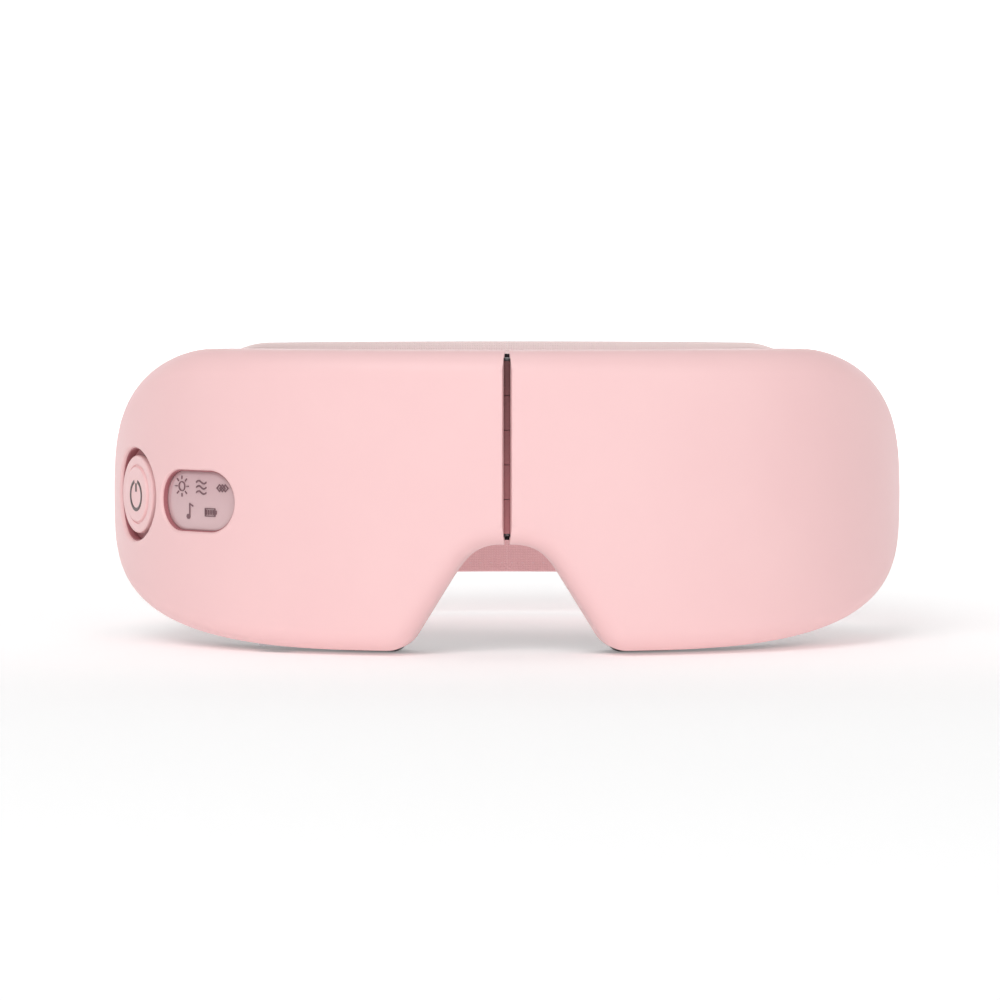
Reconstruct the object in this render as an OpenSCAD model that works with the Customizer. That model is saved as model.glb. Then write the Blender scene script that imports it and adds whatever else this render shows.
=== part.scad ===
// Foldable eye massager mask with its hinge, cushions, air massage, heating,
// electronics and elastic head strap. Left and right are the wearer's.
// X runs towards the wearer's left, Y from the front of the mask towards the
// back of the head, Z up. The origin is under the middle of the whole object.

/* [Shell] */
// Height of the plastic shell
shell_h = 77.2; // [76:0.2:79]
// Inward depth of the shell's rim behind its front face
shell_depth = 13; // [12.8:0.1:13.5]
// Thickness of the shell's wall
wall = 1.8; // [1.6:0.1:2]
// Radius of the rounded edge between front and sides
edge_r = 6; // [5:0.5:7]
// Arc length from the centre line to the temple end
half_len = 146; // [144:1:148]
// Width of the gap between the two halves
gap_w = 1.3; // [1.2:0.1:1.6]

/* [Plan curve] */
// Radius of the front face over the brow
brow_r = 157; // [150:1:165]
// Turn of the front face at the end of the brow
brow_turn = 23; // [21:0.5:25]
// Radius of the front face round the temple
temple_r = 74; // [70:1:78]
// Turn of the front face at the temple end
end_turn = 85; // [83:0.5:86]

/* [Nose notch] */
// Height of the notch above the shell's bottom
notch_h = 27.5; // [26:0.5:29]
// Radius of the arch over the nose
arch_r = 13; // [11:0.5:15]
// Slope of the notch's sides
notch_slope = 56; // [52:1:60]
// Distance from the centre where the sides would meet the bottom
notch_foot = 27.5; // [26:0.5:29]
// Radius of the corner between notch and bottom
foot_r = 9; // [7:0.5:10]

/* [Hinge] */
// Distance of the hinge axis behind the front face
axis_depth = 8; // [7.8:0.1:8.2]
// Outer radius of the hinge knuckles
knuckle_r = 5.5; // [5:0.1:5.5]
// Radius of the hinge pin
pin_r = 1.5; // [1.2:0.1:2]
// Angle left free on each side of the mid plane behind the axis
fold_clear = 50; // [49:0.5:52]

/* [Cushions] */
// How far the cushions reach below the shell
pad_drop = 1.2; // [0.6:0.1:2]
// Inward depth of the cushions' face in front of the cheeks and brow
pad_face = 26; // [24:0.5:27]
// Half width of the opening round each eye
eye_a = 22; // [20:0.5:22.5]
// Half height of the opening round each eye
eye_b = 17; // [15:0.5:18]

/* [Controls] */
// Radius of the dish round the power button
dish_r = 12.35; // [12:0.05:12.6]
// Radius of the power button
button_r = 10.3; // [9.5:0.1:10.5]
// Travel of the power button
button_travel = 0.6; // [0.4:0.1:0.8]
// Length of the display window
display_w = 26.8; // [26:0.2:28]
// Height of the display window
display_h = 16; // [15:0.5:17]

/* [Strap] */
// Width of the strap at its anchors
strap_end_w = 28; // [26:1:30]
// Width of the strap at the back of the head
strap_back_w = 66; // [60:1:66]
// Thickness of the strap
strap_t = 2; // [1.6:0.1:2.2]
// Distance from the front face to the back of the strap
strap_reach = 150; // [146:1:152]

/* [Hidden] */

$fn = 48;

// Colours
pink = [0.96, 0.79, 0.79];
deep_pink = [0.86, 0.62, 0.64];
charcoal = [0.13, 0.12, 0.13];
dark_fabric = [0.2, 0.19, 0.2];
steel = [0.72, 0.73, 0.75];

// Heights
low_z = pad_drop;
top_z = low_z + shell_h;
mid_z = top_z - 39.5;

// The plan curve: a brow arc, a temple arc and a straight end
front_y = -(strap_reach + strap_t / 2) / 2;
brow_len = brow_r * brow_turn * PI / 180;
temple_len = temple_r * (end_turn - brow_turn) * PI / 180;
axis_y = front_y + axis_depth;

function heading(s) =
    s < brow_len ? s / brow_r * 180 / PI
    : s < brow_len + temple_len ? brow_turn + (s - brow_len) / temple_r * 180 / PI
    : end_turn;
function front(s) =
    let (a = heading(s),
         b = min(a, brow_turn),
         end = max(0, s - brow_len - temple_len))
    [brow_r * sin(b) + temple_r * (sin(a) - sin(b)) + end * cos(end_turn),
     front_y + brow_r * (1 - cos(b)) + temple_r * (cos(b) - cos(a)) + end * sin(end_turn)];
// A point s along the front face, n inside it and z high
function at(s, n, z) =
    let (p = front(s), a = heading(s))
    [p.x - n * sin(a), p.y + n * cos(a), z];

// How far a part at depth n stays from the centre line, so that the mask can fold
function fold_edge(n) =
    max(gap_w / 2, (n - axis_depth) * tan(fold_clear) / (1 - n / brow_r));

// The outline of one half, laid flat, as a lower and an upper height over s.
// d moves it inwards all round, tip is where its temple end lies.
top_turn_s = 86;
top_power = 1.65;
low_turn_s = 40;
low_power = 2.2;
foot_tan = tan(notch_slope / 2);
arch_s = notch_foot - notch_h / tan(notch_slope) - arch_r * foot_tan;

function quarter(t, power) = pow(max(0, 1 - pow(max(0, t), power)), 1 / power);
function upper(s, d, tip) =
    mid_z + (top_z - d - mid_z) * quarter((s - top_turn_s) / (tip - d - top_turn_s), top_power);
function lower(s, d, tip) =
    let (r = max(foot_r - d, 1), side = notch_foot + d * foot_tan, ra = arch_r + d,
         foot_start = side - r * foot_tan * cos(notch_slope),
         foot_end = side + r * foot_tan, z = low_z + d)
    s < arch_s ? z + notch_h
    : s < arch_s + ra * sin(notch_slope) ? z + notch_h - ra + sqrt(ra * ra - pow(s - arch_s, 2))
    : s < foot_start ? z + (side - s) * tan(notch_slope)
    : s < foot_end ? z + r - sqrt(r * r - pow(foot_end - s, 2))
    : mid_z - (mid_z - z) * quarter((s - low_turn_s) / (tip - d - low_turn_s), low_power);

// Where the outline gets a point, from its centre end (0) to its temple end (1)
even_s = 101;
stations = [for (s = concat(
        [gap_w / 2],
        [for (i = [0:5]) arch_s + arch_r * sin(notch_slope * i / 5)],
        [for (i = [0:7]) 18 + i * 2.2],
        [for (i = [0:8]) 38 + i * 7],
        [for (i = [0:9]) even_s + (half_len - even_s) * sin(9.5 * i)]))
    (s - gap_w / 2) / (half_len - gap_w / 2)];

// A loop goes along the upper edge to the temple and back along the lower one.
// edge is where its centre end lies, drop lowers its bottom under the cheeks.
function ramp(t) = let (c = min(1, max(0, t))) c * c * (3 - 2 * c);
function droop(s) = ramp((s - 27) / 6) * ramp((104 - s) / 18);
nose_lift = 4;
function pad_rise(s, drop) = drop > 0 ? nose_lift * ramp((33 - s) / 9) - drop * droop(s) : 0;
function outline(d, edge, tip, drop) =
    let (len = tip - d - edge, last = len(stations) - 1,
         all_s = [for (t = stations) edge + t * len])
    concat([for (s = all_s) [s, upper(s, d, tip)]],
        [for (i = [last:-1:0]) let (s = all_s[i]) [s, lower(s, d, tip) + pad_rise(s, drop)]]);
function half_loop(d, edge, n) = [for (p = outline(d, edge, half_len, 0)) at(p.x, n, p.y)];

// The cushion's loops lie between the opening round the eye (t = 0) and the
// outline (t = 1), and rise is the part of the cushion's height that they reach.
pad_base = 14.95;
pad_tip = 124;
eye_s = 40;
eye_z = mid_z + 3;
function pad_height(s) =
    ramp((s - 11) / 22) * (1 - 0.22 * ramp((s - 60) / 55)) * (pad_face - pad_base);
function pad_outline(d) =
    let (half = outline(d, 12.6, pad_tip, pad_drop + d), low = half[len(half) - 1])
    concat(half, [for (i = [1:5]) low + (half[0] - low) * i / 6]);
function pad_loop(t, d, rise, flare = 0) =
    [for (p = pad_outline(d))
        let (v = p - [eye_s, eye_z],
             e = [eye_s, eye_z] + v / norm([v.x / (eye_a + flare), v.y / (eye_b + flare)]),
             q = e + (p - e) * t)
        at(q.x, pad_base + rise * pad_height(q.x), q.y)];

// An oval loop, a by b in half sizes, or a stadium when power is 0
oval_steps = 14;
function oval_height(u, a, b, power) =
    power > 0 ? b * quarter(abs(u), power)
    : sqrt(b * b - pow(max(0, abs(u) * a - (a - b)), 2));
function oval_loop(s, z, a, b, n, power = 2) =
    let (cols = [for (i = [0:oval_steps]) -cos(4 + 172 * i / oval_steps)])
    concat([for (u = cols) at(s + u * a, n, z + oval_height(u, a, b, power))],
        [for (i = [oval_steps:-1:0]) let (u = cols[i])
            at(s + u * a, n, z - oval_height(u, a, b, power))]);

// A solid skinned over loops, from front to back, with its ends closed by strips.
// A ring closes on its own first loop instead.
module skin(loops, ring = false) {
    count = len(loops[0]);
    layers = len(loops);
    sides = [for (r = [0:layers - (ring ? 1 : 2)], j = [0:count - 1])
        let (a = r * count, b = (r + 1) % layers * count, k = (j + 1) % count)
        [a + j, b + j, b + k, a + k]];
    function strip(base, order) = [for (i = [0:count / 2 - 2])
        let (q = [i, i + 1, count - 2 - i, count - 1 - i])
        [for (k = order) base + q[k]]];
    polyhedron([for (l = loops, p = l) p], ring ? sides : concat(sides,
        strip(0, [0:3]), strip((layers - 1) * count, [3:-1:0])));
}
module oval_plate(s, z, a, b, front_n, back_n, power = 2)
    skin([oval_loop(s, z, a, b, front_n, power), oval_loop(s, z, a, b, back_n, power)]);
module soft_oval(s, z, a, b, front_n, back_n, soft) skin([
    oval_loop(s, z, a - soft, b - soft, front_n), oval_loop(s, z, a, b, front_n + soft),
    oval_loop(s, z, a, b, back_n - soft), oval_loop(s, z, a - soft, b - soft, back_n)]);

// A place on the curved face: X along it, Y inwards, Z up
module place(s, n, z) translate(at(s, n, z)) rotate([0, 0, heading(s)]) children();
module peg(r, h) rotate([-90, 0, 0]) cylinder(r = r, h = h);
module block(w, h, t) translate([-w / 2, 0, -h / 2]) cube([w, t, h]);
module post(r, low, high) translate([0, 0, low]) cylinder(r = r, h = high - low);
module on_axis() translate([0, axis_y, 0]) children();
module other_side() mirror([1, 0, 0]) children();

// A round tube along points, with eight sides
function unit(v) = v / norm(v);
module tube(points, r) {
    sides = 8;
    last = len(points) - 1;
    rings = [for (i = [0:last])
        let (t = unit(points[min(i + 1, last)] - points[max(i - 1, 0)]),
             u = unit(cross(t, abs(t.z) > 0.9 ? [1, 0, 0] : [0, 0, 1])), v = cross(t, u))
        [for (k = [0:sides - 1]) let (a = 360 * k / sides)
            points[i] + r * (cos(a) * u + sin(a) * v)]];
    polyhedron([for (g = rings, p = g) p], concat(
        [[for (k = [0:sides - 1]) k]],
        [for (i = [0:last - 1], k = [0:sides - 1])
            let (a = i * sides, b = a + sides, m = (k + 1) % sides)
            [a + m, a + k, b + k, b + m]],
        [[for (k = [sides - 1:-1:0]) last * sides + k]]));
}
// A smooth curve pulled towards a few places given as [s, n, z]
function bezier(p, t) = len(p) == 1 ? p[0]
    : bezier([for (i = [0:len(p) - 2]) p[i] * (1 - t) + p[i + 1] * t], t);
function route(p, steps) =
    [for (i = [0:steps]) let (q = bezier(p, i / steps)) at(q[0], q[1], q[2])];

// ---- Sizes shared by several sub-parts --------------------------------------
plate_t = 1.75;
plate_n = shell_depth + 0.05;
plate_back = plate_n + plate_t;
screw_r = 0.9;
head_r = 2;
boss_r = 2.6;
boss_places = [[25, top_z - 8.7], [109, top_z - 15.7], [103, low_z + 17.3], [42, low_z + 7.8]];

leaf_n = 8.2;
leaf_t = 1.6;
leaf_s = 14;
leaf_screw_z = [mid_z + 1, mid_z + 31];
room_r = knuckle_r + 0.6;
knuckle_low = mid_z - 7.2;
knuckle_gap = 0.16;
knuckle_count = 5;
knuckle_h = 8.68;
knuckle_high = knuckle_low + knuckle_count * (knuckle_h + knuckle_gap) - knuckle_gap;

hose_r = 1;
hose_z = knuckle_low + 2.3;
ribbon_low = hose_z + 2;
ribbon_h = 6;

display_s = 86.8;
lens_n = 1.9;
lens_t = 1.1;
lens_rim = 0.8;
button_s = 115.4;
button_z = mid_z + 0.6;
stem_r = 4;
stem_n = 6.6;
switch_n = stem_n + button_travel + 0.05;
switch_h = 3.35;
running_fit = 0.08;

board_s = 43;
board_z = mid_z + 13;
board_n = 5.2;
board_t = 1.2;
board_posts = [[27.5, mid_z + 1], [58.5, mid_z + 1], [58.5, mid_z + 25]];
board_post_r = 2;
// Depth of the flat board's front under the curved face at s
function board_front(s) = board_n - pow(s - board_s, 2) / (2 * brow_r);
port_s = 66;
port_n = 9;
speaker_s = 95;
speaker_z = mid_z + 22.8;
motor_s = 84;
motor_n = 7.4;
motor_low = low_z + 6;
motor_high = motor_low + 11;
motor_shaft_r = 0.5;

pump_s = 77;
pump_n = 7.4;
pump_low = mid_z - 2;
pump_high = pump_low + 15;
valve_s = 112.5;
valve_n = 7;
valve_low = mid_z - 7;
valve_high = mid_z + 7;
valve_travel = 1.5;

anchor_s = 152;
anchor_n = 9;
anchor_bar_r = 1.6;
strap_loop_r = 3.4;
strap_loop_bore = 2;
anchor_xy = at(anchor_s, anchor_n, 0);

// ---- Shells -----------------------------------------------------------------
module shell_tray() {
    in_r = edge_r - wall;
    centre_r = 0.8;
    inner_edge = gap_w / 2 + wall;
    skin(concat(
        [for (a = [0:22.5:90]) half_loop(edge_r * (1 - sin(a)),
            gap_w / 2 + centre_r * (1 - sin(a)), edge_r * (1 - cos(a)))],
        [half_loop(0, gap_w / 2, axis_depth),
         half_loop(0, fold_edge(shell_depth), shell_depth),
         half_loop(wall, fold_edge(shell_depth) + wall, shell_depth),
         half_loop(wall, inner_edge, axis_depth)],
        [for (a = [90:-30:0]) half_loop(wall + in_r * (1 - sin(a)),
            inner_edge, wall + in_r * (1 - cos(a)))]));
}
// The way for the air hose and the ribbon cable past the hinge
module cable_window() {
    reach = 28;
    translate([-reach / 2, front_y + 11.6, hose_z - 1.8])
        cube([reach, 4.2, ribbon_low + ribbon_h + 1 - hose_z + 1.8]);
}
module shell() {
    root_n = wall - 0.3;
    difference() {
        union() {
            shell_tray();
            for (b = boss_places) place(b.x, root_n, b.y) peg(boss_r, shell_depth - root_n);
            for (z = leaf_screw_z) place(leaf_s, root_n, z) peg(boss_r, leaf_n - root_n - 0.05);
        }
        on_axis() post(room_r, knuckle_low - 1, top_z - wall);
        for (b = boss_places) place(b.x, 5, b.y) peg(screw_r, shell_depth);
        for (z = leaf_screw_z) place(leaf_s, 3.2, z) peg(screw_r, shell_depth);
        cable_window();
    }
}
module left_outer_shell() color(pink) shell();
module right_outer_shell() color(pink) other_side() {
    difference() {
        shell();
        oval_plate(display_s, mid_z, display_w / 2, display_h / 2, -2, wall + 1, 0);
        place(button_s, -3, button_z) peg(dish_r, 9);
        place(port_s, port_n, low_z - 1) linear_extrude(4) port_outline(0.25);
    }
    for (p = board_posts) difference() {
        place(p.x, wall - 0.2, p.y) peg(board_post_r, board_front(p.x) - wall - 0.1);
        place(p.x, 2.6, p.y) peg(0.7, board_n);
    }
}

// ---- Housings ---------------------------------------------------------------
module housing() color(charcoal) difference() {
    plate_edge = fold_edge(plate_back) + 0.3;
    lip_edge = fold_edge(shell_depth) + wall + 0.15;
    lip_out = wall + 0.15;
    lip_in = lip_out + 1.3;
    lip_n = 11;
    skin([half_loop(lip_in, lip_edge + 1.3, plate_n), half_loop(lip_in, lip_edge + 1.3, lip_n),
        half_loop(lip_out, lip_edge, lip_n), half_loop(lip_out, lip_edge, plate_n),
        half_loop(0.4, plate_edge, plate_n), half_loop(0.4, plate_edge, plate_back)]);
    for (b = boss_places) {
        place(b.x, 10, b.y) peg(boss_r + 0.15, plate_n - 10 + 0.02);
        place(b.x, 10, b.y) peg(screw_r + 0.2, 8);
        place(b.x, plate_back - 1.15, b.y) peg(head_r + 0.15, 3);
    }
    for (s = [eye_s, 104]) place(s, 12, mid_z + 8) peg(1.3, 4);
    cable_window();
}
module left_inner_housing() housing();
module right_inner_housing() other_side() housing();

module screw(s, n, z, shank_r, shank, cap_r, cap) color(steel) place(s, n, z) difference() {
    union() {
        peg(cap_r, cap);
        translate([0, 0.02 - shank, 0]) peg(shank_r, shank);
    }
    translate([0, cap / 2, 0]) rotate([-90, 0, 0]) cylinder(r = cap_r / 2, h = cap, $fn = 6);
}
module housing_screws()
    for (b = boss_places) screw(b.x, plate_back - 1.1, b.y, screw_r - 0.02, 7.5, head_r, 1);
module left_housing_screws() housing_screws();
module right_housing_screws() other_side() housing_screws();

// ---- Hinge ------------------------------------------------------------------
module hinge_leaf(first) color(deep_pink) difference() {
    turn = knuckle_h + knuckle_gap;
    barrel_h = knuckle_high - knuckle_low;
    union() {
        on_axis() post(knuckle_r, knuckle_low, knuckle_high);
        place(leaf_s, leaf_n, knuckle_low + barrel_h / 2) translate([-2, 0, 0])
            block(17.2, barrel_h - 0.4, leaf_t);
    }
    for (i = [1 - first:2:knuckle_count - 1]) {
        low = knuckle_low + i * turn - knuckle_gap;
        on_axis() post(room_r, low, low + turn + knuckle_gap);
    }
    on_axis() post(pin_r + 0.05, 0, top_z);
    for (z = leaf_screw_z) place(leaf_s, leaf_n - 1, z) peg(screw_r + 0.15, 5);
}
module right_hinge_leaf() other_side() hinge_leaf(0);
module left_hinge_leaf() hinge_leaf(1);
module hinge_pin() color(steel) on_axis() {
    post(pin_r, knuckle_low - 0.1, knuckle_high + 0.1);
    post(2.6, knuckle_low - 0.7, knuckle_low - 0.1);
    post(2.6, knuckle_high + 0.1, knuckle_high + 0.7);
}
module hinge_screws()
    for (z = leaf_screw_z)
        screw(leaf_s, leaf_n + leaf_t + 0.05, z, screw_r - 0.02, 5.5, head_r, 1);
module left_hinge_screws() hinge_screws();
module right_hinge_screws() other_side() hinge_screws();

// Soft cover behind the hinge, from one half to the other
module nose_gusset() color(dark_fabric) {
    gusset_low = low_z + notch_h + 0.6;
    translate([-11.6, front_y + 16, gusset_low]) cube([23.2, 1.1, top_z - 1.1 - gusset_low]);
}

// The hose and the flat cable bend with the hinge
function hinge_pass(z) =
    let (half = [for (i = [0:4]) let (t = i / 4)
        [18 - 12 * t, front_y + 11.9 + 2.55 * ramp(t * 1.15), z]])
    concat(half, [for (i = [4:-1:0]) [-half[i].x, half[i].y, z]]);
module crossover_hose() color(charcoal) tube(hinge_pass(hose_z), hose_r - 0.1);
module crossover_ribbon() color([0.85, 0.55, 0.2]) {
    path = hinge_pass(0);
    last = len(path) - 1;
    translate([0, 0, ribbon_low]) linear_extrude(ribbon_h)
        polygon(concat([for (p = path) [p.x, p.y - 0.15]],
            [for (i = [last:-1:0]) [path[i].x, path[i].y + 0.15]]));
}

// ---- Cushions, air bags, heating and lining ---------------------------------
bag_s = 104;
module temple_bag(extra)
    soft_oval(bag_s, mid_z, 13 + extra, 17 + extra, pad_base - extra, pad_base + 3.2 + extra, 1);
module face_pad() color(charcoal) difference() {
    skin([pad_loop(1, 1.2, 0), pad_loop(0.65, 1.2, 0), pad_loop(0.3, 1.2, 0),
        pad_loop(0, 1.2, 0), pad_loop(0, 1.2, 0.7), pad_loop(0.08, 1.2, 0.95, 1),
        pad_loop(0.3, 1.2, 1), pad_loop(0.6, 1.2, 1), pad_loop(0.92, 1.2, 0.97),
        pad_loop(1, 1.0, 0.8), pad_loop(1, 0.3, 0.35)], true);
    temple_bag(0.15);
}
module left_face_pad() face_pad();
module right_face_pad() other_side() face_pad();

module eye_airbag() color([0.55, 0.56, 0.6])
    soft_oval(eye_s, eye_z, eye_a - 1.2, eye_b - 1.2, pad_base, pad_base + 2.8, 1);
module left_eye_airbag() eye_airbag();
module right_eye_airbag() other_side() eye_airbag();
module left_temple_airbag() color([0.55, 0.56, 0.6]) temple_bag(0);
module right_temple_airbag() color([0.55, 0.56, 0.6]) other_side() temple_bag(0);

module heating_film() color([0.8, 0.5, 0.25])
    oval_plate(eye_s, eye_z, eye_a - 2.5, eye_b - 2.5, pad_base + 2.9, pad_base + 3.2);
module left_heating_film() heating_film();
module right_heating_film() other_side() heating_film();
module inner_lining() color(dark_fabric)
    soft_oval(eye_s, eye_z, eye_a - 0.6, eye_b - 0.6, pad_base + 3.35, pad_base + 4.4, 0.3);
module left_inner_lining() inner_lining();
module right_inner_lining() other_side() inner_lining();

// ---- Electronics of the right half ------------------------------------------
green = [0.1, 0.4, 0.25];
module main_circuit_board() color(green) other_side() difference() {
    union() {
        place(board_s, board_n, board_z) block(38, 29, board_t);
        for (c = [[-8, 3, 8, 8, 1], [6, 6, 5, 4, 1.4], [8, -6, 4, 4, 2], [-3, -8, 6, 4, 0.9]])
            place(board_s, board_n + board_t, board_z) translate([c[0], -0.01, c[1]])
                block(c[2], c[3], c[4]);
    }
    for (p = board_posts) place(p.x, board_n - 1, p.y) peg(0.85, 4);
}
module board_screws() other_side()
    for (p = board_posts)
        screw(p.x, board_front(p.x) + board_t + 0.2, p.y, 0.65, 3.2, 1.4, 0.8);

module display_window() color([0.88, 0.74, 0.75, 0.6]) other_side()
    oval_plate(display_s, mid_z, display_w / 2 + lens_rim, display_h / 2 + lens_rim,
        lens_n, lens_n + lens_t, 0);
module indicator_board() color(green) other_side() place(display_s, 5.2, mid_z) {
    block(24, 13, 0.8);
    for (x = [-8, -3, 2, 7]) translate([x, -0.7, 3.4]) block(1.6, 0.9, 0.75);
    for (x = [-2.5, 3]) translate([x, -0.7, -3]) block(1.6, 0.9, 0.75);
}
// Flat signs for light, wave massage, air massage, music and battery
icon_line = 0.25;
icon_n = lens_n - 0.25;
module icon(ds, dz) place(display_s + ds, icon_n, mid_z + dz)
    rotate([-90, 0, 0]) linear_extrude(0.2) children();
module stroke(a, b) {
    along = b - a;
    translate(a) rotate(atan2(along.y, along.x))
        translate([0, -icon_line / 2]) square([norm(along), icon_line]);
}
module ring_line(r) difference() {
    circle(r, $fn = 24);
    circle(r - icon_line, $fn = 24);
}
module sun_icon() {
    ring_line(1.3);
    for (a = [0:45:315]) rotate(a) stroke([1.85, 0], [2.75, 0]);
}
module wave_icon() {
    steps = 16;
    rise = 0.38;
    half_w = 1.8;
    wave_line = 0.38;
    function wave(i, side) =
        [half_w * (2 * i / steps - 1), rise * sin(360 * i / steps) + side * wave_line / 2];
    for (y = [-1.35, 0, 1.35]) translate([0, y]) polygon(concat(
        [for (i = [0:steps]) wave(i, -1)], [for (i = [steps:-1:0]) wave(i, 1)]));
}
module chain_icon() for (x = [-0.95, 0, 0.95]) translate([x, 0]) rotate(45) difference() {
    square(1.5, center = true);
    square(1.5 - 2 * icon_line, center = true);
}
module note_icon() {
    translate([-0.7, 1.5]) circle(0.65, $fn = 20);
    stroke([-0.2, 1.6], [-0.2, -2]);
    stroke([-0.3, -1.9], [1.1, -1.2]);
}
module battery_icon() {
    difference() {
        square([3.6, 2.2], center = true);
        square([3.6 - 2 * icon_line, 2.2 - 2 * icon_line], center = true);
    }
    translate([1.8, -0.5]) square([0.45, 1]);
    for (x = [-1.2:0.6:1.2]) translate([x, 0]) square([0.25, 1.3], center = true);
}
module indicator_icons() color([0.35, 0.22, 0.25]) other_side() {
    icon(6.6, 3.6) sun_icon();
    icon(-1, 3.5) wave_icon();
    icon(-8.5, 3.5) chain_icon();
    icon(3.2, -2.7) mirror([1, 0]) note_icon();
    icon(-4.2, -2.9) mirror([1, 0]) battery_icon();
}

module power_button_seat() color(pink) other_side() place(button_s, 3.1, button_z)
    difference() {
        union() {
            peg(dish_r + 0.85, 1.5);
            peg(stem_r + 1.6, 3.1);
        }
        translate([0, -1, 0]) peg(stem_r + running_fit, 6);
    }
module power_button_cap() color(pink) other_side() place(button_s, 0, button_z) {
    translate([0, 0.9, 0]) peg(button_r, 1.4);
    translate([0, 0.5, 0]) peg(button_r - 3, 1);
    peg(stem_r, stem_n);
}
module tact_switch() color(steel) other_side() place(button_s, switch_n, button_z) {
    peg(1.2, 0.8);
    translate([0, 0.75, 0]) block(6, 6, switch_h - 0.75);
}
module button_board() color(green) other_side()
    place(button_s, switch_n + switch_h + 0.05, button_z) block(18, 14, 1);

module port_outline(extra) offset(extra) hull() for (x = [-2.9, 2.9])
    translate([x, 0]) circle(1.6, $fn = 32);
module charging_port() color(steel) other_side() place(port_s, port_n, low_z + 0.3)
    difference() {
        linear_extrude(7.3) port_outline(0);
        translate([0, 0, -1]) linear_extrude(6.5) port_outline(-0.35);
        translate([0, 0, 0.6]) linear_extrude(7) square([7.4, 1.9], center = true);
    }

// ---- Pieces that both halves have -------------------------------------------
module speaker() color(charcoal) place(speaker_s, 5.6, speaker_z) difference() {
    peg(8.5, 4.2);
    translate([0, -1, 0]) peg(6.8, 1.8);
}
module left_speaker() speaker();
module right_speaker() other_side() speaker();

module motor_can() color(steel) place(motor_s, motor_n, 0) {
    post(3.5, motor_low, motor_high);
    post(motor_shaft_r, motor_high - 0.1, motor_high + 5.2);
}
module left_motor_can() motor_can();
module right_motor_can() other_side() motor_can();
module eccentric_weight() color([0.5, 0.5, 0.5]) place(motor_s, motor_n, 0) difference() {
    post(3.4, motor_high + 0.5, motor_high + 5);
    post(motor_shaft_r + 0.03, motor_high, motor_high + 6);
    translate([-5, 1.1, motor_high]) cube([10, 10, 6]);
}
module left_eccentric_weight() eccentric_weight();
module right_eccentric_weight() other_side() eccentric_weight();

module left_air_hoses() color([0.6, 0.6, 0.62]) {
    tube(route([[19.7, 10.8, hose_z], [45, 12, 31], [80, 11, 30], [99, 8, 24],
        [99, 8, mid_z - 5.6]], 14), hose_r);
    tube(route([[82.5, 10.9, pump_high + 0.1], [83, 11.2, 46], [90, 9, 42],
        [93.6, 8, 42]], 8), hose_r);
}
module right_air_hoses() color([0.6, 0.6, 0.62]) other_side()
    tube(route([[19.7, 10.8, hose_z], [45, 11.8, 36], [70, 11.4, 60], [100, 11.6, 53],
        [104, 11.6, 52]], 16), hose_r);

// ---- Battery and air system of the left half --------------------------------
battery_z = mid_z + 11.8;
module battery_cell() color([0.65, 0.67, 0.7]) place(board_s, 3.9, battery_z)
    rotate([-90, 0, 0]) linear_extrude(6) offset(1.5) square([35, 29], center = true);
module battery_tray() color(charcoal) place(board_s, 10.05, battery_z) block(40, 33, 0.8);

module air_pump_motor() color(steel) place(pump_s, pump_n, 0) {
    post(4.9, pump_low, pump_high);
    post(0.75, pump_high - 0.1, pump_high + 2.6);
}
module pump_crank() color([0.85, 0.85, 0.82]) place(pump_s, pump_n, 0) {
    difference() {
        post(3.8, pump_high + 0.7, pump_high + 3.4);
        post(0.8, pump_high, pump_high + 2.9);
    }
    translate([2.2, 0, 0]) post(0.8, pump_high + 3.3, pump_high + 5);
}
module air_pump_head() color([0.85, 0.85, 0.82]) place(pump_s, 2.7, 0) difference() {
    translate([0, 0, pump_high + 8.6]) block(14.6, 16.6, 9.4);
    translate([0, pump_n - 2.7, 0]) post(4.3, pump_high, pump_high + 5.6);
}
module air_manifold() color([0.85, 0.85, 0.82]) place(99, 5, mid_z) {
    block(9, 11, 6);
    translate([0, 3, 0]) post(1.4, 5.4, 8);
}
module solenoid_valve() color(steel) place(valve_s, valve_n, 0) difference() {
    translate([-5, -4, valve_low]) cube([10, 8, valve_high - valve_low]);
    post(1.8, valve_high - 9, valve_high + 1);
}
module valve_plunger() color([0.8, 0.68, 0.4]) place(valve_s, valve_n, 0) {
    post(1.7, valve_high - 7, valve_high + 3.2);
    post(2.8, valve_high + 3.1, valve_high + 4.1);
}
module valve_spring() color(steel) place(valve_s, valve_n, 0) difference() {
    post(2.7, valve_high + 0.05, valve_high + 3.05);
    post(2, valve_high - 1, valve_high + 4);
}

// ---- Strap ------------------------------------------------------------------
module strap_anchor() color(charcoal) {
    arm_low = strap_end_w / 2 + 0.4;
    arm_t = 2.4;
    plate_first = 127;
    plate_h = arm_low + arm_t;
    sides = [for (s = [plate_first:3.5:141]) s];
    last = len(sides) - 1;
    skin([for (n = [plate_back + 0.1, plate_back + 2.2]) concat(
        [for (s = sides) at(s, n, mid_z + plate_h)],
        [for (i = [last:-1:0]) at(sides[i], n, mid_z - plate_h)])]);
    for (z = [mid_z + arm_low, mid_z - arm_low - arm_t]) translate([0, 0, z])
        linear_extrude(arm_t) polygon([for (p = [[137, 15], [137, 17], [147.6, 17],
            [154, 10.6], [152.4, 6.9], [150, 7.6], [146.9, 15]])
            let (q = at(p.x, p.y, 0)) [q.x, q.y]]);
    translate(anchor_xy) post(anchor_bar_r, mid_z - plate_h + 0.1, mid_z + plate_h - 0.1);
}
module left_strap_anchor() strap_anchor();
module right_strap_anchor() other_side() strap_anchor();

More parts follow.
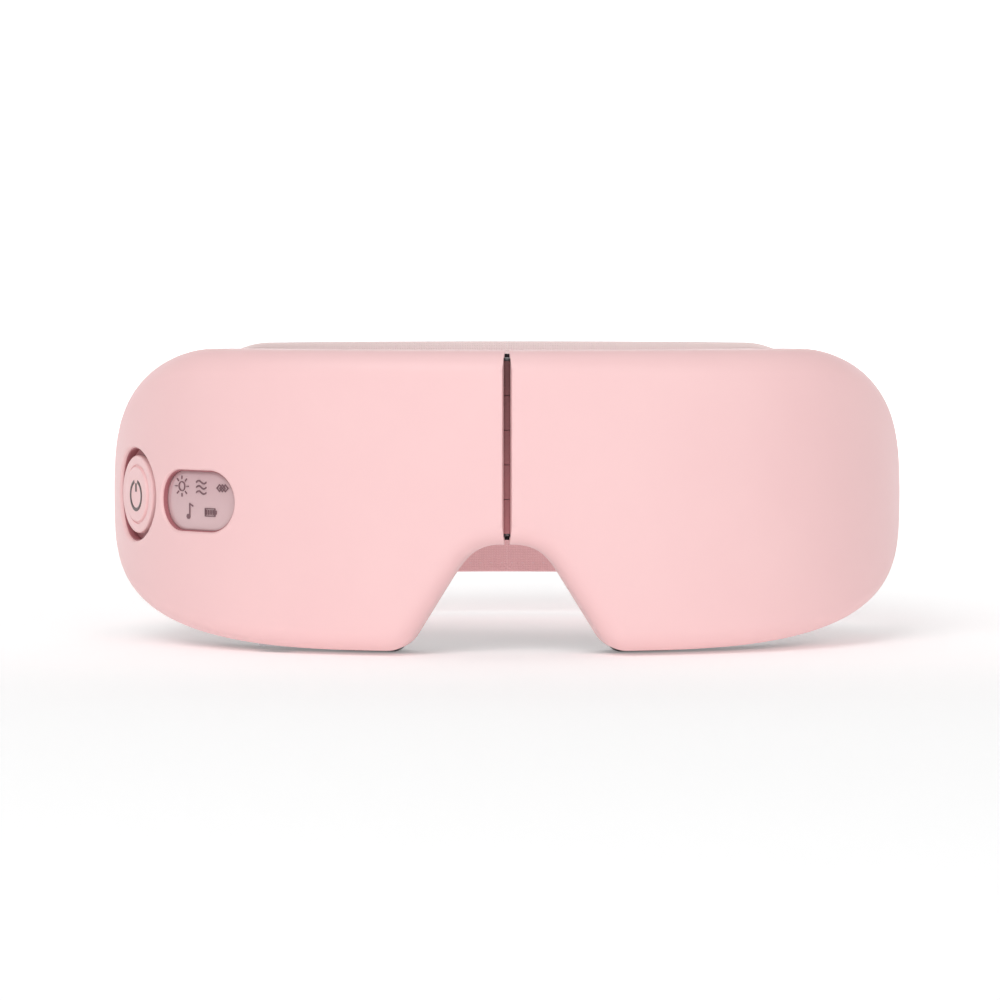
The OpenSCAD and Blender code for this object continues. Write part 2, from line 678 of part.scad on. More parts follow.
// The strap runs from its loop on the anchor's bar to the middle of the back
// on a quarter ellipse; out moves a layer outwards from it
strap_gap = 0.3;
strap_lift = 6.2;
strap_flare_a = 45;
strap_a = anchor_xy.x - (strap_loop_bore + strap_t / 2 + 0.1) - strap_gap;
strap_b = front_y + strap_reach - anchor_xy.y;
function strap_z(a) = mid_z + strap_lift * ramp(a / strap_flare_a);
function strap_half(a) = (strap_end_w + (strap_back_w - strap_end_w) * ramp(a / strap_flare_a)) / 2;
function strap_corner(a, out, z) =
    let (normal = unit([cos(a) / strap_a, sin(a) / strap_b]))
    [strap_gap + strap_a * cos(a) + out * normal.x,
     anchor_xy.y + strap_b * sin(a) + out * normal.y, z];
function strap_section(a, inner, outer, narrow) =
    let (h = strap_half(a) - narrow, z = strap_z(a))
    [strap_corner(a, inner, z + h), strap_corner(a, outer, z + h),
     strap_corner(a, outer, z - h), strap_corner(a, inner, z - h)];
module strap() color(deep_pink) {
    skin([for (i = [0:24]) strap_section(3.75 * i, -strap_t / 2, strap_t / 2, 0)]);
    translate(anchor_xy) difference() {
        post(strap_loop_r, mid_z - strap_end_w / 2 + 0.8, mid_z + strap_end_w / 2 - 0.8);
        post(strap_loop_bore, 0, top_z);
    }
}
module left_strap() strap();
module right_strap() other_side() strap();

// The strap's end comes round the bar and is pressed onto the strap's outside
module strap_tail() color(deep_pink) {
    tail_t = 1.5;
    lay = strap_t / 2 + 0.1;
    free = strap_loop_bore + 0.1 + strap_t / 2 + strap_loop_r - tail_t;
    skin([for (i = [0:9]) let (a = 3.2 + 2.9 * i, out = free + (lay - free) * ramp(i / 4))
        strap_section(a, out, out + tail_t, 2)]);
}
module left_strap_tail() strap_tail();
module right_strap_tail() other_side() strap_tail();

right_outer_shell();
right_inner_housing();
right_face_pad();
right_eye_airbag();
right_temple_airbag();
right_heating_film();
right_inner_lining();
right_air_hoses();
right_speaker();
right_motor_can();
right_eccentric_weight();
right_hinge_leaf();
right_hinge_screws();
right_housing_screws();
right_strap_anchor();
right_strap();
right_strap_tail();
main_circuit_board();
board_screws();
display_window();
indicator_icons();
indicator_board();
power_button_seat();
power_button_cap();
tact_switch();
button_board();
charging_port();
hinge_pin();
nose_gusset();
crossover_hose();
crossover_ribbon();
left_outer_shell();
left_inner_housing();
left_face_pad();
left_eye_airbag();
left_temple_airbag();
left_heating_film();
left_inner_lining();
left_air_hoses();
left_speaker();
left_motor_can();
left_eccentric_weight();
left_hinge_leaf();
left_hinge_screws();
left_housing_screws();
left_strap_anchor();
left_strap();
left_strap_tail();
battery_cell();
battery_tray();
air_pump_motor();
air_pump_head();
pump_crank();
air_manifold();
solenoid_valve();
valve_plunger();
valve_spring();
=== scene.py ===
"""Looks of the foldable eye massager mask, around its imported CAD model.

Lengths are millimetres in the functions below and become metres where a mesh is made.
A point on the mask is given as (s, n, z): s along the front face from the centre line, n inwards
from it and z up. Pieces are made on the wearer's left (+X) and mirrored for the right.
"""
import math

import bmesh
import bpy
from mathutils import Matrix, Vector


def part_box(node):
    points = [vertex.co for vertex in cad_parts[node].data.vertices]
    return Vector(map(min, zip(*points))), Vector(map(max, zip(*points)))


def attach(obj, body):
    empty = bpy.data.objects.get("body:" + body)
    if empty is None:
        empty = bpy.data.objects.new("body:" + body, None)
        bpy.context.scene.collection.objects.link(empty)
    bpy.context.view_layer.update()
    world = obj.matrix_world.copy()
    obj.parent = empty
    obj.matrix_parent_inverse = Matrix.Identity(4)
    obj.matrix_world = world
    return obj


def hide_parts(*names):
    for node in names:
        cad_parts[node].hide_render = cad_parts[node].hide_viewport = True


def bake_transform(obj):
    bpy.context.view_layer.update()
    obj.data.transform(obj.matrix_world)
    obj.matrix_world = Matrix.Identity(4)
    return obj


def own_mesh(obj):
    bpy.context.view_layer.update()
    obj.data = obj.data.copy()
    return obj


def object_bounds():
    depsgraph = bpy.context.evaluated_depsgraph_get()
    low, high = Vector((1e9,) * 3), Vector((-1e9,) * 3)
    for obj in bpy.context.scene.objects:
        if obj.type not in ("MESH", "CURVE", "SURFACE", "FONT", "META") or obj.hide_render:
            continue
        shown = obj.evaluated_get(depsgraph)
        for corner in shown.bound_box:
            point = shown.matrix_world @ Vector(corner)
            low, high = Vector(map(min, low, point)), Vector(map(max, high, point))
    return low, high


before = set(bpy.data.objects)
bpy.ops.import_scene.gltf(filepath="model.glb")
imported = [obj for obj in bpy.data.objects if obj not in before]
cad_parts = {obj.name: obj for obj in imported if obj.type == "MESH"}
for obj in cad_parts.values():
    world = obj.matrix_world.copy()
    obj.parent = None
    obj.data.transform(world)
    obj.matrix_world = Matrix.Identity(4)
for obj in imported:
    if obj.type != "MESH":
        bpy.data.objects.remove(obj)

cad_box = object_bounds()

MM = 0.001


def node_box(node):
    """Lowest and highest corner of a CAD node, in millimetres."""
    lowest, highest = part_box(node)
    return lowest / MM, highest / MM


# ---- Driving sizes, as the CAD model has them ----
shell_low, shell_high = node_box("left_outer_shell")
LOW_Z, TOP_Z = round(shell_low.z, 1), round(shell_high.z, 1)
MID_Z = TOP_Z - 39.5
FRONT_Y = round(shell_low.y, 1)
SHELL_DEPTH = 13
WALL = 1.8
EDGE_R = 6
HALF_LEN = 146
GAP_W = 1.3
CENTRE_R = 0.8
BROW_R, BROW_TURN = 157, math.radians(23)
TEMPLE_R, END_TURN = 74, math.radians(85)
BROW_LEN = BROW_R * BROW_TURN
TEMPLE_LEN = TEMPLE_R * (END_TURN - BROW_TURN)
NOTCH_H, NOTCH_FOOT, NOTCH_SLOPE = 27.5, 27.5, math.radians(56)
ARCH_R, FOOT_R = 13, 9
FOOT_TAN = math.tan(NOTCH_SLOPE / 2)
ARCH_S = NOTCH_FOOT - NOTCH_H / math.tan(NOTCH_SLOPE) - ARCH_R * FOOT_TAN
TOP_TURN_S, TOP_POWER = 86, 1.65
LOW_TURN_S, LOW_POWER = 40, 2.2
EVEN_S = 101

AXIS_DEPTH = 8
AXIS_Y = FRONT_Y + AXIS_DEPTH
ROOM_R = 6.1
FOLD_TAN = math.tan(math.radians(50))
KNUCKLE_LOW = MID_Z - 7.2

PLATE_N = SHELL_DEPTH + 0.05
PLATE_BACK = PLATE_N + 1.75
SCREW_R, HEAD_R, BOSS_R = 0.9, 2, 2.6
BOSSES = [(25, TOP_Z - 8.7), (109, TOP_Z - 15.7), (103, LOW_Z + 17.3), (42, LOW_Z + 7.8)]

DISPLAY_S, DISPLAY_W, DISPLAY_H = 86.8, 26.8, 16
LENS_N, LENS_T, LENS_RIM = 1.9, 1.1, 0.8
BUTTON_S, BUTTON_Z = 115.4, MID_Z + 0.6
DISH_R, BUTTON_R, STEM_R, STEM_N = 12.35, 10.3, 4, 6.6
PORT_S, PORT_N = 66, 9

PAD_BASE, PAD_FACE, PAD_TIP, PAD_EDGE = 14.95, 26, 124, 12.6
PAD_DROP, NOSE_LIFT = LOW_Z, 4
EYE_S, EYE_Z, EYE_A, EYE_B = 40, MID_Z + 3, 22, 17
BAG_S = 104

ANCHOR_S, ANCHOR_N = 152, 9
STRAP_T, STRAP_END_W, STRAP_BACK_W = 2, 28, 66
STRAP_BORE, STRAP_LOOP_R, STRAP_GAP, STRAP_LIFT = 2, 3.4, 0.3, 6.2


# ---- The mask's curves ----
def ramp(t):
    t = min(1.0, max(0.0, t))
    return t * t * (3 - 2 * t)


def heading(s):
    """Turn of the front face at s, in radians."""
    if s < BROW_LEN:
        return s / BROW_R
    return min(END_TURN, BROW_TURN + (s - BROW_LEN) / TEMPLE_R)


def at(s, n, z):
    """The point s along the front face, n behind it and z high."""
    a = heading(s)
    b = min(a, BROW_TURN)
    straight = max(0, s - BROW_LEN - TEMPLE_LEN)
    x = BROW_R * math.sin(b) + TEMPLE_R * (math.sin(a) - math.sin(b)) + straight * math.cos(END_TURN)
    y = BROW_R * (1 - math.cos(b)) + TEMPLE_R * (math.cos(b) - math.cos(a)) + straight * math.sin(END_TURN)
    return Vector((x - n * math.sin(a), FRONT_Y + y + n * math.cos(a), z))


def fold_edge(n):
    """Distance from the centre line that leaves room for the fold at depth n."""
    return max(GAP_W / 2, (n - AXIS_DEPTH) * FOLD_TAN / (1 - n / BROW_R))


def quarter(t, power):
    return max(0.0, 1 - max(0.0, t) ** power) ** (1 / power)


def upper(s, d, tip):
    """Height of the upper edge at s, moved inwards by d, for an outline that ends at tip."""
    return MID_Z + (TOP_Z - d - MID_Z) * quarter((s - TOP_TURN_S) / (tip - d - TOP_TURN_S), TOP_POWER)


def lower(s, d, tip):
    """Height of the lower edge: arch over the nose, sloping side, rounded foot and cheek curve."""
    r = max(FOOT_R - d, 1)
    side = NOTCH_FOOT + d * FOOT_TAN
    arch = ARCH_R + d
    foot_start = side - r * FOOT_TAN * math.cos(NOTCH_SLOPE)
    foot_end = side + r * FOOT_TAN
    z = LOW_Z + d
    if s < ARCH_S:
        return z + NOTCH_H
    if s < ARCH_S + arch * math.sin(NOTCH_SLOPE):
        return z + NOTCH_H - arch + math.sqrt(arch * arch - (s - ARCH_S) ** 2)
    if s < foot_start:
        return z + (side - s) * math.tan(NOTCH_SLOPE)
    if s < foot_end:
        return z + r - math.sqrt(r * r - (foot_end - s) ** 2)
    return MID_Z - (MID_Z - z) * quarter((s - LOW_TURN_S) / (tip - d - LOW_TURN_S), LOW_POWER)


def spread(first, last, count):
    """count numbers from first to last, both included."""
    return [first + (last - first) * i / (count - 1) for i in range(count)]


def outline_stations():
    """Where the outline gets a point, from its centre end (0) to its temple end (1)."""
    arch = [ARCH_S + ARCH_R * math.sin(NOTCH_SLOPE * t) for t in spread(0, 1, 13)]
    temple = [EVEN_S + (HALF_LEN - EVEN_S) * math.sin(math.radians(a)) for a in spread(0, 85.5, 37)]
    places = [GAP_W / 2] + arch + spread(18, 37, 22) + spread(38, 98, 25) + temple
    return [(s - GAP_W / 2) / (HALF_LEN - GAP_W / 2) for s in places]


STATIONS = outline_stations()


def pad_rise(s, drop):
    """How far the cushion's lower edge lies above the shell's: higher at the nose, lower at the cheek."""
    if not drop:
        return 0.0
    return NOSE_LIFT * ramp((33 - s) / 9) - drop * ramp((s - 27) / 6) * ramp((104 - s) / 18)


def outline(d, edge, tip, drop):
    """Points (s, z) along the upper edge to the temple and back along the lower one."""
    places = [edge + t * (tip - d - edge) for t in STATIONS]
    top = [(s, upper(s, d, tip)) for s in places]
    return top + [(s, lower(s, d, tip) + pad_rise(s, drop)) for s in reversed(places)]


def half_loop(d, edge, n):
    return [at(s, n, z) for s, z in outline(d, edge, HALF_LEN, 0)]


def pad_height(s):
    return ramp((s - 11) / 22) * (1 - 0.22 * ramp((s - 60) / 55)) * (PAD_FACE - PAD_BASE)


def pad_loop(t, d, rise, flare=0.0):
    """A loop of the cushion: t runs from the eye's opening (0) to the outline (1), rise up its height."""
    loop = []
    half = outline(d, PAD_EDGE, PAD_TIP, PAD_DROP + d)
    low, high = half[-1][1], half[0][1]
    nose_side = [(PAD_EDGE, z) for z in spread(low, high, 14)[1:-1]]
    for s, z in half + nose_side:
        ds, dz = s - EYE_S, z - EYE_Z
        size = math.hypot(ds / (EYE_A + flare), dz / (EYE_B + flare))
        inner_s, inner_z = EYE_S + ds / size, EYE_Z + dz / size
        q = inner_s + (s - inner_s) * t
        loop.append(at(q, PAD_BASE + rise * pad_height(q), inner_z + (z - inner_z) * t))
    return loop


def face_frame(s, n, z):
    """A matrix from (along, inwards, up) to the place (s, n, z) on the curved face, as CAD parts sit."""
    matrix = Matrix.Rotation(heading(s), 4, "Z")
    matrix.translation = at(s, n, z)
    return matrix


# ---- Meshes ----
class Form:
    """Points, faces and a flat place in millimetres for each point, which a weave follows."""

    def __init__(self):
        self.points, self.faces, self.flat = [], [], []

    def add(self, points, faces, flat=None):
        base = len(self.points)
        self.points += [Vector(p) for p in points]
        self.faces += [[base + i for i in f] for f in faces]
        self.flat += list(flat) if flat else [(p[0], p[2]) for p in points]
        return self

    def join(self, other):
        return self.add(other.points, other.faces, other.flat)

    def moved(self, matrix):
        self.points = [matrix @ p for p in self.points]
        return self

    def mirrored(self):
        """The same form on the wearer's right."""
        twin = Form()
        return twin.add([(-p.x, p.y, p.z) for p in self.points],
            [f[::-1] for f in self.faces], [(-u, v) for u, v in self.flat])


def band_faces(rows, count, closed, ring=False):
    """Quads between rows of count points each."""
    faces = []
    for r in range(rows if ring else rows - 1):
        for j in range(count if closed else count - 1):
            a, b, k = r * count, (r + 1) % rows * count, (j + 1) % count
            faces.append([a + j, b + j, b + k, a + k])
    return faces


def skin(loops, first_rows=0, last_rows=0, ring=False):
    """A closed form over loops. Its ends are filled by rows of quads across each end loop."""
    form = Form()
    count = len(loops[0])
    form.add([p for loop in loops for p in loop], band_faces(len(loops), count, True, ring))
    for rows, base in ((first_rows, 0), (last_rows, (len(loops) - 1) * count)):
        if not rows:
            continue
        columns = count // 2
        grid = [[base + i for i in range(columns)]]
        for r in range(1, rows):
            start = len(form.points)
            form.add([form.points[base + i].lerp(form.points[base + count - 1 - i], r / rows)
                for i in range(columns)], [])
            grid.append([start + i for i in range(columns)])
        grid.append([base + count - 1 - i for i in range(columns)])
        for r in range(rows):
            for i in range(columns - 1):
                form.faces.append([grid[r][i], grid[r][i + 1], grid[r + 1][i + 1], grid[r + 1][i]])
    return form


def tube(loops, ring=False, flat=None):
    """A form over loops, with flat ends or joined into a ring."""
    count = len(loops[0])
    last = (len(loops) - 1) * count
    form = Form().add([p for loop in loops for p in loop], band_faces(len(loops), count, True, ring), flat)
    if not ring:
        form.faces += [list(range(count))[::-1], list(range(last, last + count))]
    return form


def round_turn(steps):
    """Angles of a full turn, without its end."""
    return spread(0, 2 * math.pi, steps + 1)[:-1]


def lathe(profile, steps=96):
    """A turned form: profile is a list of (radius, depth), and depth runs along Y."""
    return tube([[(r * math.cos(a), depth, r * math.sin(a)) for a in round_turn(steps)]
        for r, depth in profile])


def circle_outline(radius, steps=96):
    """Points of a circle that grows by an amount, for sweep_round."""
    return lambda grow: [((radius + grow) * math.cos(a), (radius + grow) * math.sin(a))
        for a in round_turn(steps)]


def stadium_outline(width, height, steps=24):
    """Points of a stadium, two half circles joined by straight lines, that grows by an amount."""
    flat = (width - height) / 2

    def points(grow):
        r = height / 2 + grow
        half_turn = spread(-math.pi / 2, math.pi / 2, steps)
        right = [(flat + r * math.cos(a), r * math.sin(a)) for a in half_turn]
        bottom_to_top = [(flat * k, -r) for k in (-0.6, -0.2, 0.2, 0.6)]
        left = [(-x, -y) for x, y in right]
        return right + [(-x, -y) for x, y in bottom_to_top] + left + bottom_to_top
    return points


def wrapped(s, z, points, n):
    """Flat points laid on the curved face round (s, z), n deep."""
    return [at(s + x, n, z + y) for x, y in points]


def sweep_round(s, z, outline_points, profile, ring=True):
    """A profile of (grow, n) carried round an outline that is wrapped onto the curved face."""
    return tube([wrapped(s, z, outline_points(grow), n) for grow, n in profile], ring)


def arc(centre, radius, first, last, count):
    """Points (grow, n) of an arc in a profile; angles in degrees, 90 pointing outwards from the face."""
    return [(centre[0] + radius * math.cos(math.radians(a)), centre[1] - radius * math.sin(math.radians(a)))
        for a in spread(first, last, count)]


def box_form(lowest, highest):
    corners = [(x, y, z) for x in (lowest[0], highest[0]) for y in (lowest[1], highest[1])
        for z in (lowest[2], highest[2])]
    faces = [(0, 1, 3, 2), (4, 6, 7, 5), (0, 4, 5, 1), (2, 3, 7, 6), (0, 2, 6, 4), (1, 5, 7, 3)]
    return Form().add(corners, faces)


def add_to_scene(name, data):
    piece = bpy.data.objects.new(name, data)
    bpy.context.scene.collection.objects.link(piece)
    return piece


def shade(mesh, sharp):
    mesh.shade_smooth()
    mesh.set_sharp_from_angle(angle=math.radians(sharp))


def make_object(name, form, sharp=35.0):
    """A Blender object of a form, smooth except where it turns by more than sharp degrees."""
    mesh = bpy.data.meshes.new(name)
    mesh.from_pydata([p * MM for p in form.points], [], form.faces)
    weave = mesh.uv_layers.new(name="Weave")
    for face in mesh.polygons:
        for corner, vertex in zip(face.loop_indices, face.vertices):
            weave.data[corner].uv = form.flat[vertex]
    shaped = bmesh.new()
    shaped.from_mesh(mesh)
    bmesh.ops.recalc_face_normals(shaped, faces=shaped.faces)
    shaped.to_mesh(mesh)
    shaped.free()
    shade(mesh, sharp)
    return add_to_scene(name, mesh)


def settle(piece):
    """Applies a piece's modifiers to its mesh."""
    bpy.context.view_layer.update()
    shaped = bpy.data.meshes.new_from_object(piece.evaluated_get(bpy.context.evaluated_depsgraph_get()))
    piece.modifiers.clear()
    piece.data = shaped


def carve(piece, cutters):
    """Cuts the joined cutters out of a piece."""
    cutter_form = Form()
    for cutter in cutters:
        cutter_form.join(cutter)
    cutter = make_object("cutter", cutter_form)
    modifier = piece.modifiers.new("carve", "BOOLEAN")
    modifier.operation = "DIFFERENCE"
    modifier.solver = "EXACT"
    modifier.use_hole_tolerant = True
    modifier.object = cutter
    settle(piece)
    bpy.data.objects.remove(cutter)
    shade(piece.data, 35)


def merge(piece, extra):
    """Adds another object's mesh to a piece as further closed shells of the same part."""
    shaped = bmesh.new()
    shaped.from_mesh(piece.data)
    shaped.from_mesh(extra.data)
    shaped.to_mesh(piece.data)
    shaped.free()
    bpy.data.objects.remove(extra)


def dress(piece, material):
    piece.data.materials.clear()
    piece.data.materials.append(material)


def finish_piece(piece, material, body, slot, *nodes):
    """Gives a piece its material and its body, and hides the CAD nodes that it stands for. The slot is not
    used.
    """
    dress(piece, material)
    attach(piece, body)
    if nodes:
        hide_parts(*nodes)


def on_both_halves(name, form, material, slot, node="", sharp=35.0):
    """A piece on each half, mirrored on the wearer's right."""
    for side, half in (("left", form), ("right", form.mirrored())):
        nodes = [f"{side}_{node}"] if node else []
        finish_piece(make_object(f"{side}_{name}", half, sharp), material, side + "_half", slot, *nodes)


# ---- Materials ----
def srgb(red, green, blue):
    """A colour given as 0..255 screen values, for a shader."""
    def linear(value):
        value /= 255
        return value / 12.92 if value <= 0.04045 else ((value + 0.055) / 1.055) ** 2.4
    return (linear(red), linear(green), linear(blue), 1)


class Nodes:
    """A short way to write a node material."""

    def __init__(self, name, **shader):
        self.material = bpy.data.materials.new(name)
        self.material.use_nodes = True
        self.tree = self.material.node_tree
        self.shader = self.tree.nodes["Principled BSDF"]
        for socket, value in shader.items():
            self.shader.inputs[socket.replace("_", " ")].default_value = value
        self.height = None

    def add(self, kind, inputs=(), **settings):
        node = self.tree.nodes.new(kind)
        for key, value in settings.items():
            setattr(node, key, value)
        for socket, value in dict(inputs).items():
            if isinstance(value, bpy.types.NodeSocket):
                self.tree.links.new(value, node.inputs[socket])
            else:
                node.inputs[socket].default_value = value
        return node

    def math(self, operation, *values):
        return self.add("ShaderNodeMath", dict(enumerate(values)), operation=operation).outputs[0]

    def place(self, stretch=(1, 1, 1)):
        """Object space, stretched."""
        where = self.add("ShaderNodeTexCoord").outputs["Object"]
        return self.add("ShaderNodeMapping", {"Vector": where, "Scale": stretch}).outputs[0]

    def noise(self, scale, detail=3.0, stretch=(1, 1, 1)):
        return self.add("ShaderNodeTexNoise", {"Vector": self.place(stretch), "Scale": scale,
            "Detail": detail}).outputs["Fac"]

    def blotch(self, first, second, scale, detail=3.0, stretch=(1, 1, 1)):
        """Colour that wanders between two tones."""
        return self.tone(first, second, self.noise(scale, detail, stretch))

    def tone(self, first, second, share):
        mixed = self.add("ShaderNodeMix", {0: share}, data_type="RGBA")
        mixed.inputs[6].default_value, mixed.inputs[7].default_value = first, second
        self.tree.links.new(mixed.outputs[2], self.shader.inputs["Base Color"])
        return mixed.outputs[2]

    def rough(self, share, low, high):
        spread_out = self.add("ShaderNodeMapRange", {"Value": share, "To Min": low, "To Max": high})
        self.tree.links.new(spread_out.outputs[0], self.shader.inputs["Roughness"])

    def bump(self, height, depth, strength=1.0):
        """Relief of the given depth in millimetres, added to what is there already."""
        inputs = {"Height": height, "Distance": depth * MM, "Strength": strength}
        if self.height:
            inputs["Normal"] = self.height
        self.height = self.add("ShaderNodeBump", inputs).outputs[0]
        self.tree.links.new(self.height, self.shader.inputs["Normal"])

    def gradient(self, axis, first, last, low=0.0, high=1.0, **settings):
        """A number that goes from low to high between two places, in metres, along an axis (0, 1 or 2)."""
        where = self.add("ShaderNodeTexCoord").outputs["Object"]
        place = self.add("ShaderNodeSeparateXYZ", {0: where}).outputs[axis]
        ends = {"Value": place, "From Min": first, "From Max": last, "To Min": low, "To Max": high}
        return self.add("ShaderNodeMapRange", ends, **settings).outputs[0]

    def weave_place(self):
        """The flat place on the cloth, in millimetres: along it and across it."""
        where = self.add("ShaderNodeUVMap", uv_map="Weave").outputs[0]
        parts = self.add("ShaderNodeSeparateXYZ", {0: where})
        return parts.outputs[0], parts.outputs[1]


def moulded(name, first, second, roughness=0.45, grain=0.012, **shader):
    """Moulded plastic: two close tones and a fine spark-eroded grain."""
    made = Nodes(name, **shader)
    made.blotch(first, second, 45, 4)
    made.rough(made.noise(900, 2), roughness - 0.06, roughness + 0.06)
    made.bump(made.noise(2600, 2), grain)
    return made.material


def metal(name, colour, darker, roughness=0.3, stretch=(1, 1, 14)):
    """Drawn or turned metal with fine lines."""
    made = Nodes(name, Metallic=1.0)
    lines = made.noise(700, 4, stretch)
    made.tone(darker, colour, lines)
    made.rough(lines, roughness - 0.08, roughness + 0.12)
    made.bump(lines, 0.01)
    return made.material


def leather(name, colour, worn):
    """Soft protein leather: cells with creases between them, and broad wear."""
    made = Nodes(name, Specular_IOR_Level=0.4, Sheen_Weight=0.15, Sheen_Roughness=0.5)
    cells = made.add("ShaderNodeTexVoronoi", {"Vector": made.place(), "Scale": 1100.0},
        feature="DISTANCE_TO_EDGE").outputs["Distance"]
    crease = made.add("ShaderNodeMapRange", {"Value": cells, "From Max": 0.12}).outputs[0]
    made.blotch(colour, worn, 60, 5)
    made.rough(made.noise(300, 4), 0.42, 0.62)
    made.bump(made.noise(220, 4), 0.12, 0.5)
    made.bump(crease, 0.05, 0.7)
    return made.material


def knit(name, colour, shade, pitch=0.9, depth=0.22, fuzz=0.35, painted_top_light=None):
    """Knitted fabric: columns of V-shaped stitches, darker in the grooves between them by painted shade and
    random tone. The last argument, when given, is a lighter tone for a strap's top edge: a painted
    highlight from above.
    """
    made = Nodes(name, Specular_IOR_Level=0.2, Sheen_Weight=fuzz, Sheen_Roughness=0.45)
    along, across = made.weave_place()
    turn = 2 * math.pi / pitch
    column = made.math("ABSOLUTE", made.math("SINE", made.math("MULTIPLY", across, turn / 2)))
    lean = made.math("MULTIPLY", column, 1.4)
    row = made.math("SINE", made.math("ADD", made.math("MULTIPLY", along, turn), lean))
    stitch = made.math("MULTIPLY", made.math("POWER", column, 0.6),
        made.math("ADD", made.math("MULTIPLY", row, 0.35), 0.65))
    wander = made.noise(90, 3)
    share = made.math("ADD", made.math("MULTIPLY", stitch, 0.75), made.math("MULTIPLY", wander, 0.3))
    # Painted shade: the yarn turns darker in the grooves between stitches, mixed with random tone.
    yarn_and_groove_shade = made.tone(shade, colour, share)
    if painted_top_light:
        # Painted highlight: the knit turns lighter towards the strap's top edge, as if lit from above.
        top = made.gradient(2, (MID_Z + 24) * MM, (MID_Z + 38) * MM)
        painted_top_highlight = made.add("ShaderNodeMix", {0: top, 6: yarn_and_groove_shade, 7: painted_top_light}, data_type="RGBA").outputs[2]
        made.tree.links.new(painted_top_highlight, made.shader.inputs["Base Color"])
    made.rough(wander, 0.75, 0.92)
    made.bump(stitch, depth)
    made.bump(made.noise(3500, 2), 0.04)
    return made.material


PINK = moulded("soft_touch_pink", srgb(246, 205, 205), srgb(243, 200, 201), 0.47, 0.01,
    Sheen_Weight=0.12, Sheen_Roughness=0.4, Specular_IOR_Level=0.42)
BUTTON_PINK = moulded("button_pink", srgb(246, 205, 205), srgb(242, 199, 200), 0.38, 0.008)
# Painted shade for the walls inside the dish and the display's recess.
RECESS_PAINTED_SHADE = moulded("recess_painted_shade", srgb(176, 110, 116), srgb(168, 102, 108), 0.5)
# Painted shade: the button's seat, on the floor of the groove round the cap, in darker pink.
SEAT_PAINTED_SHADE = moulded("seat_painted_shade", srgb(206, 146, 151), srgb(198, 138, 143), 0.5)
CHARCOAL = moulded("charcoal_plastic", srgb(44, 42, 45), srgb(52, 49, 52), 0.55, 0.03)
BLACK = moulded("black_plastic", srgb(28, 28, 30), srgb(36, 35, 38), 0.5, 0.02)
IVORY = moulded("pump_plastic", srgb(226, 224, 214), srgb(216, 213, 202), 0.5)
STEEL = metal("drawn_steel", (0.62, 0.63, 0.65, 1), (0.45, 0.46, 0.48, 1))
SCREW_STEEL = metal("screw_steel", (0.55, 0.56, 0.58, 1), (0.36, 0.37, 0.4, 1), 0.25, (6, 6, 1))
IRON = metal("tungsten_weight", (0.34, 0.34, 0.35, 1), (0.24, 0.24, 0.25, 1), 0.42, (1, 1, 5))
BRASS = metal("plunger_brass", (0.72, 0.55, 0.28, 1), (0.55, 0.4, 0.18, 1))
FOIL = metal("battery_foil", (0.64, 0.66, 0.7, 1), (0.52, 0.54, 0.58, 1), 0.35, (3, 1, 1))
LEATHER = leather("cushion_leather", srgb(34, 31, 33), srgb(42, 39, 41))
LINING = knit("lining_mesh", srgb(62, 59, 64), srgb(26, 25, 28), 1.1, 0.3, 0.2)
GUSSET_KNIT = knit("gusset_knit", srgb(58, 54, 58), srgb(24, 23, 25), 0.7, 0.2, 0.2)
# The strap's pink, with a painted highlight along its top edge.
STRAP_KNIT = knit("strap_knit", srgb(246, 192, 194), srgb(232, 172, 175), 0.7, 0.12,
    painted_top_light=srgb(255, 232, 230))
THREAD = knit("strap_thread", srgb(250, 214, 216), srgb(226, 172, 177), 0.3, 0.05)
DARK_THREAD = knit("cushion_thread", srgb(92, 86, 92), srgb(48, 45, 50), 0.3, 0.05)
BLADDER = moulded("air_bag_film", srgb(150, 152, 160), srgb(132, 134, 142), 0.35, 0.03)
FILM = moulded("heating_film", srgb(206, 142, 78), srgb(190, 124, 62), 0.3, 0.02)
HOSE = moulded("silicone_hose", srgb(196, 196, 200), srgb(180, 180, 186), 0.4, 0.02)
RIBBON = moulded("ribbon_cable", srgb(214, 158, 84), srgb(196, 138, 66), 0.35, 0.02)


def hinge_material():
    """The hinge's moulded pink leaves with painted shade: darker than the shell, and darker still towards
    their top.
    """
    made = Nodes("hinge_pink_painted_shade", Specular_IOR_Level=0.35)
    share = made.gradient(2, KNUCKLE_LOW * MM, (KNUCKLE_LOW + 40) * MM)
    # Painted shade: the deep tone and its darkening towards the top stand for the shadow in the gap between
    # the halves.
    made.tone(srgb(172, 110, 114), srgb(104, 62, 64), share)
    made.rough(made.noise(900, 2), 0.45, 0.58)
    made.bump(made.noise(2600, 2), 0.012)
    return made.material


def board_material():
    """Green solder mask with copper tracks and gold pads under it."""
    made = Nodes("circuit_board", Coat_Weight=0.4, Coat_Roughness=0.15)
    tracks = made.add("ShaderNodeTexBrick", {"Vector": made.place(), "Scale": 260.0,
        "Mortar Size": 0.03}).outputs["Fac"]
    made.tone(srgb(18, 78, 48), srgb(44, 124, 76), tracks)
    made.rough(made.noise(500), 0.3, 0.45)
    made.bump(tracks, 0.03)
    return made.material


def glass_material():
    """The display's tinted window, with painted shade: a little darker towards its top."""
    made = Nodes("display_window", Coat_Weight=0.6, Coat_Roughness=0.04, Specular_IOR_Level=0.5)
    share = made.gradient(2, (MID_Z - DISPLAY_H / 2) * MM, (MID_Z + DISPLAY_H / 2) * MM)
    # Painted shade below the recess's top edge: the tint darkens towards the top.
    made.tone(srgb(218, 186, 188), srgb(200, 164, 168), share)
    made.rough(made.noise(400), 0.1, 0.16)
    made.bump(made.noise(500, 2), 0.002)
    return made.material
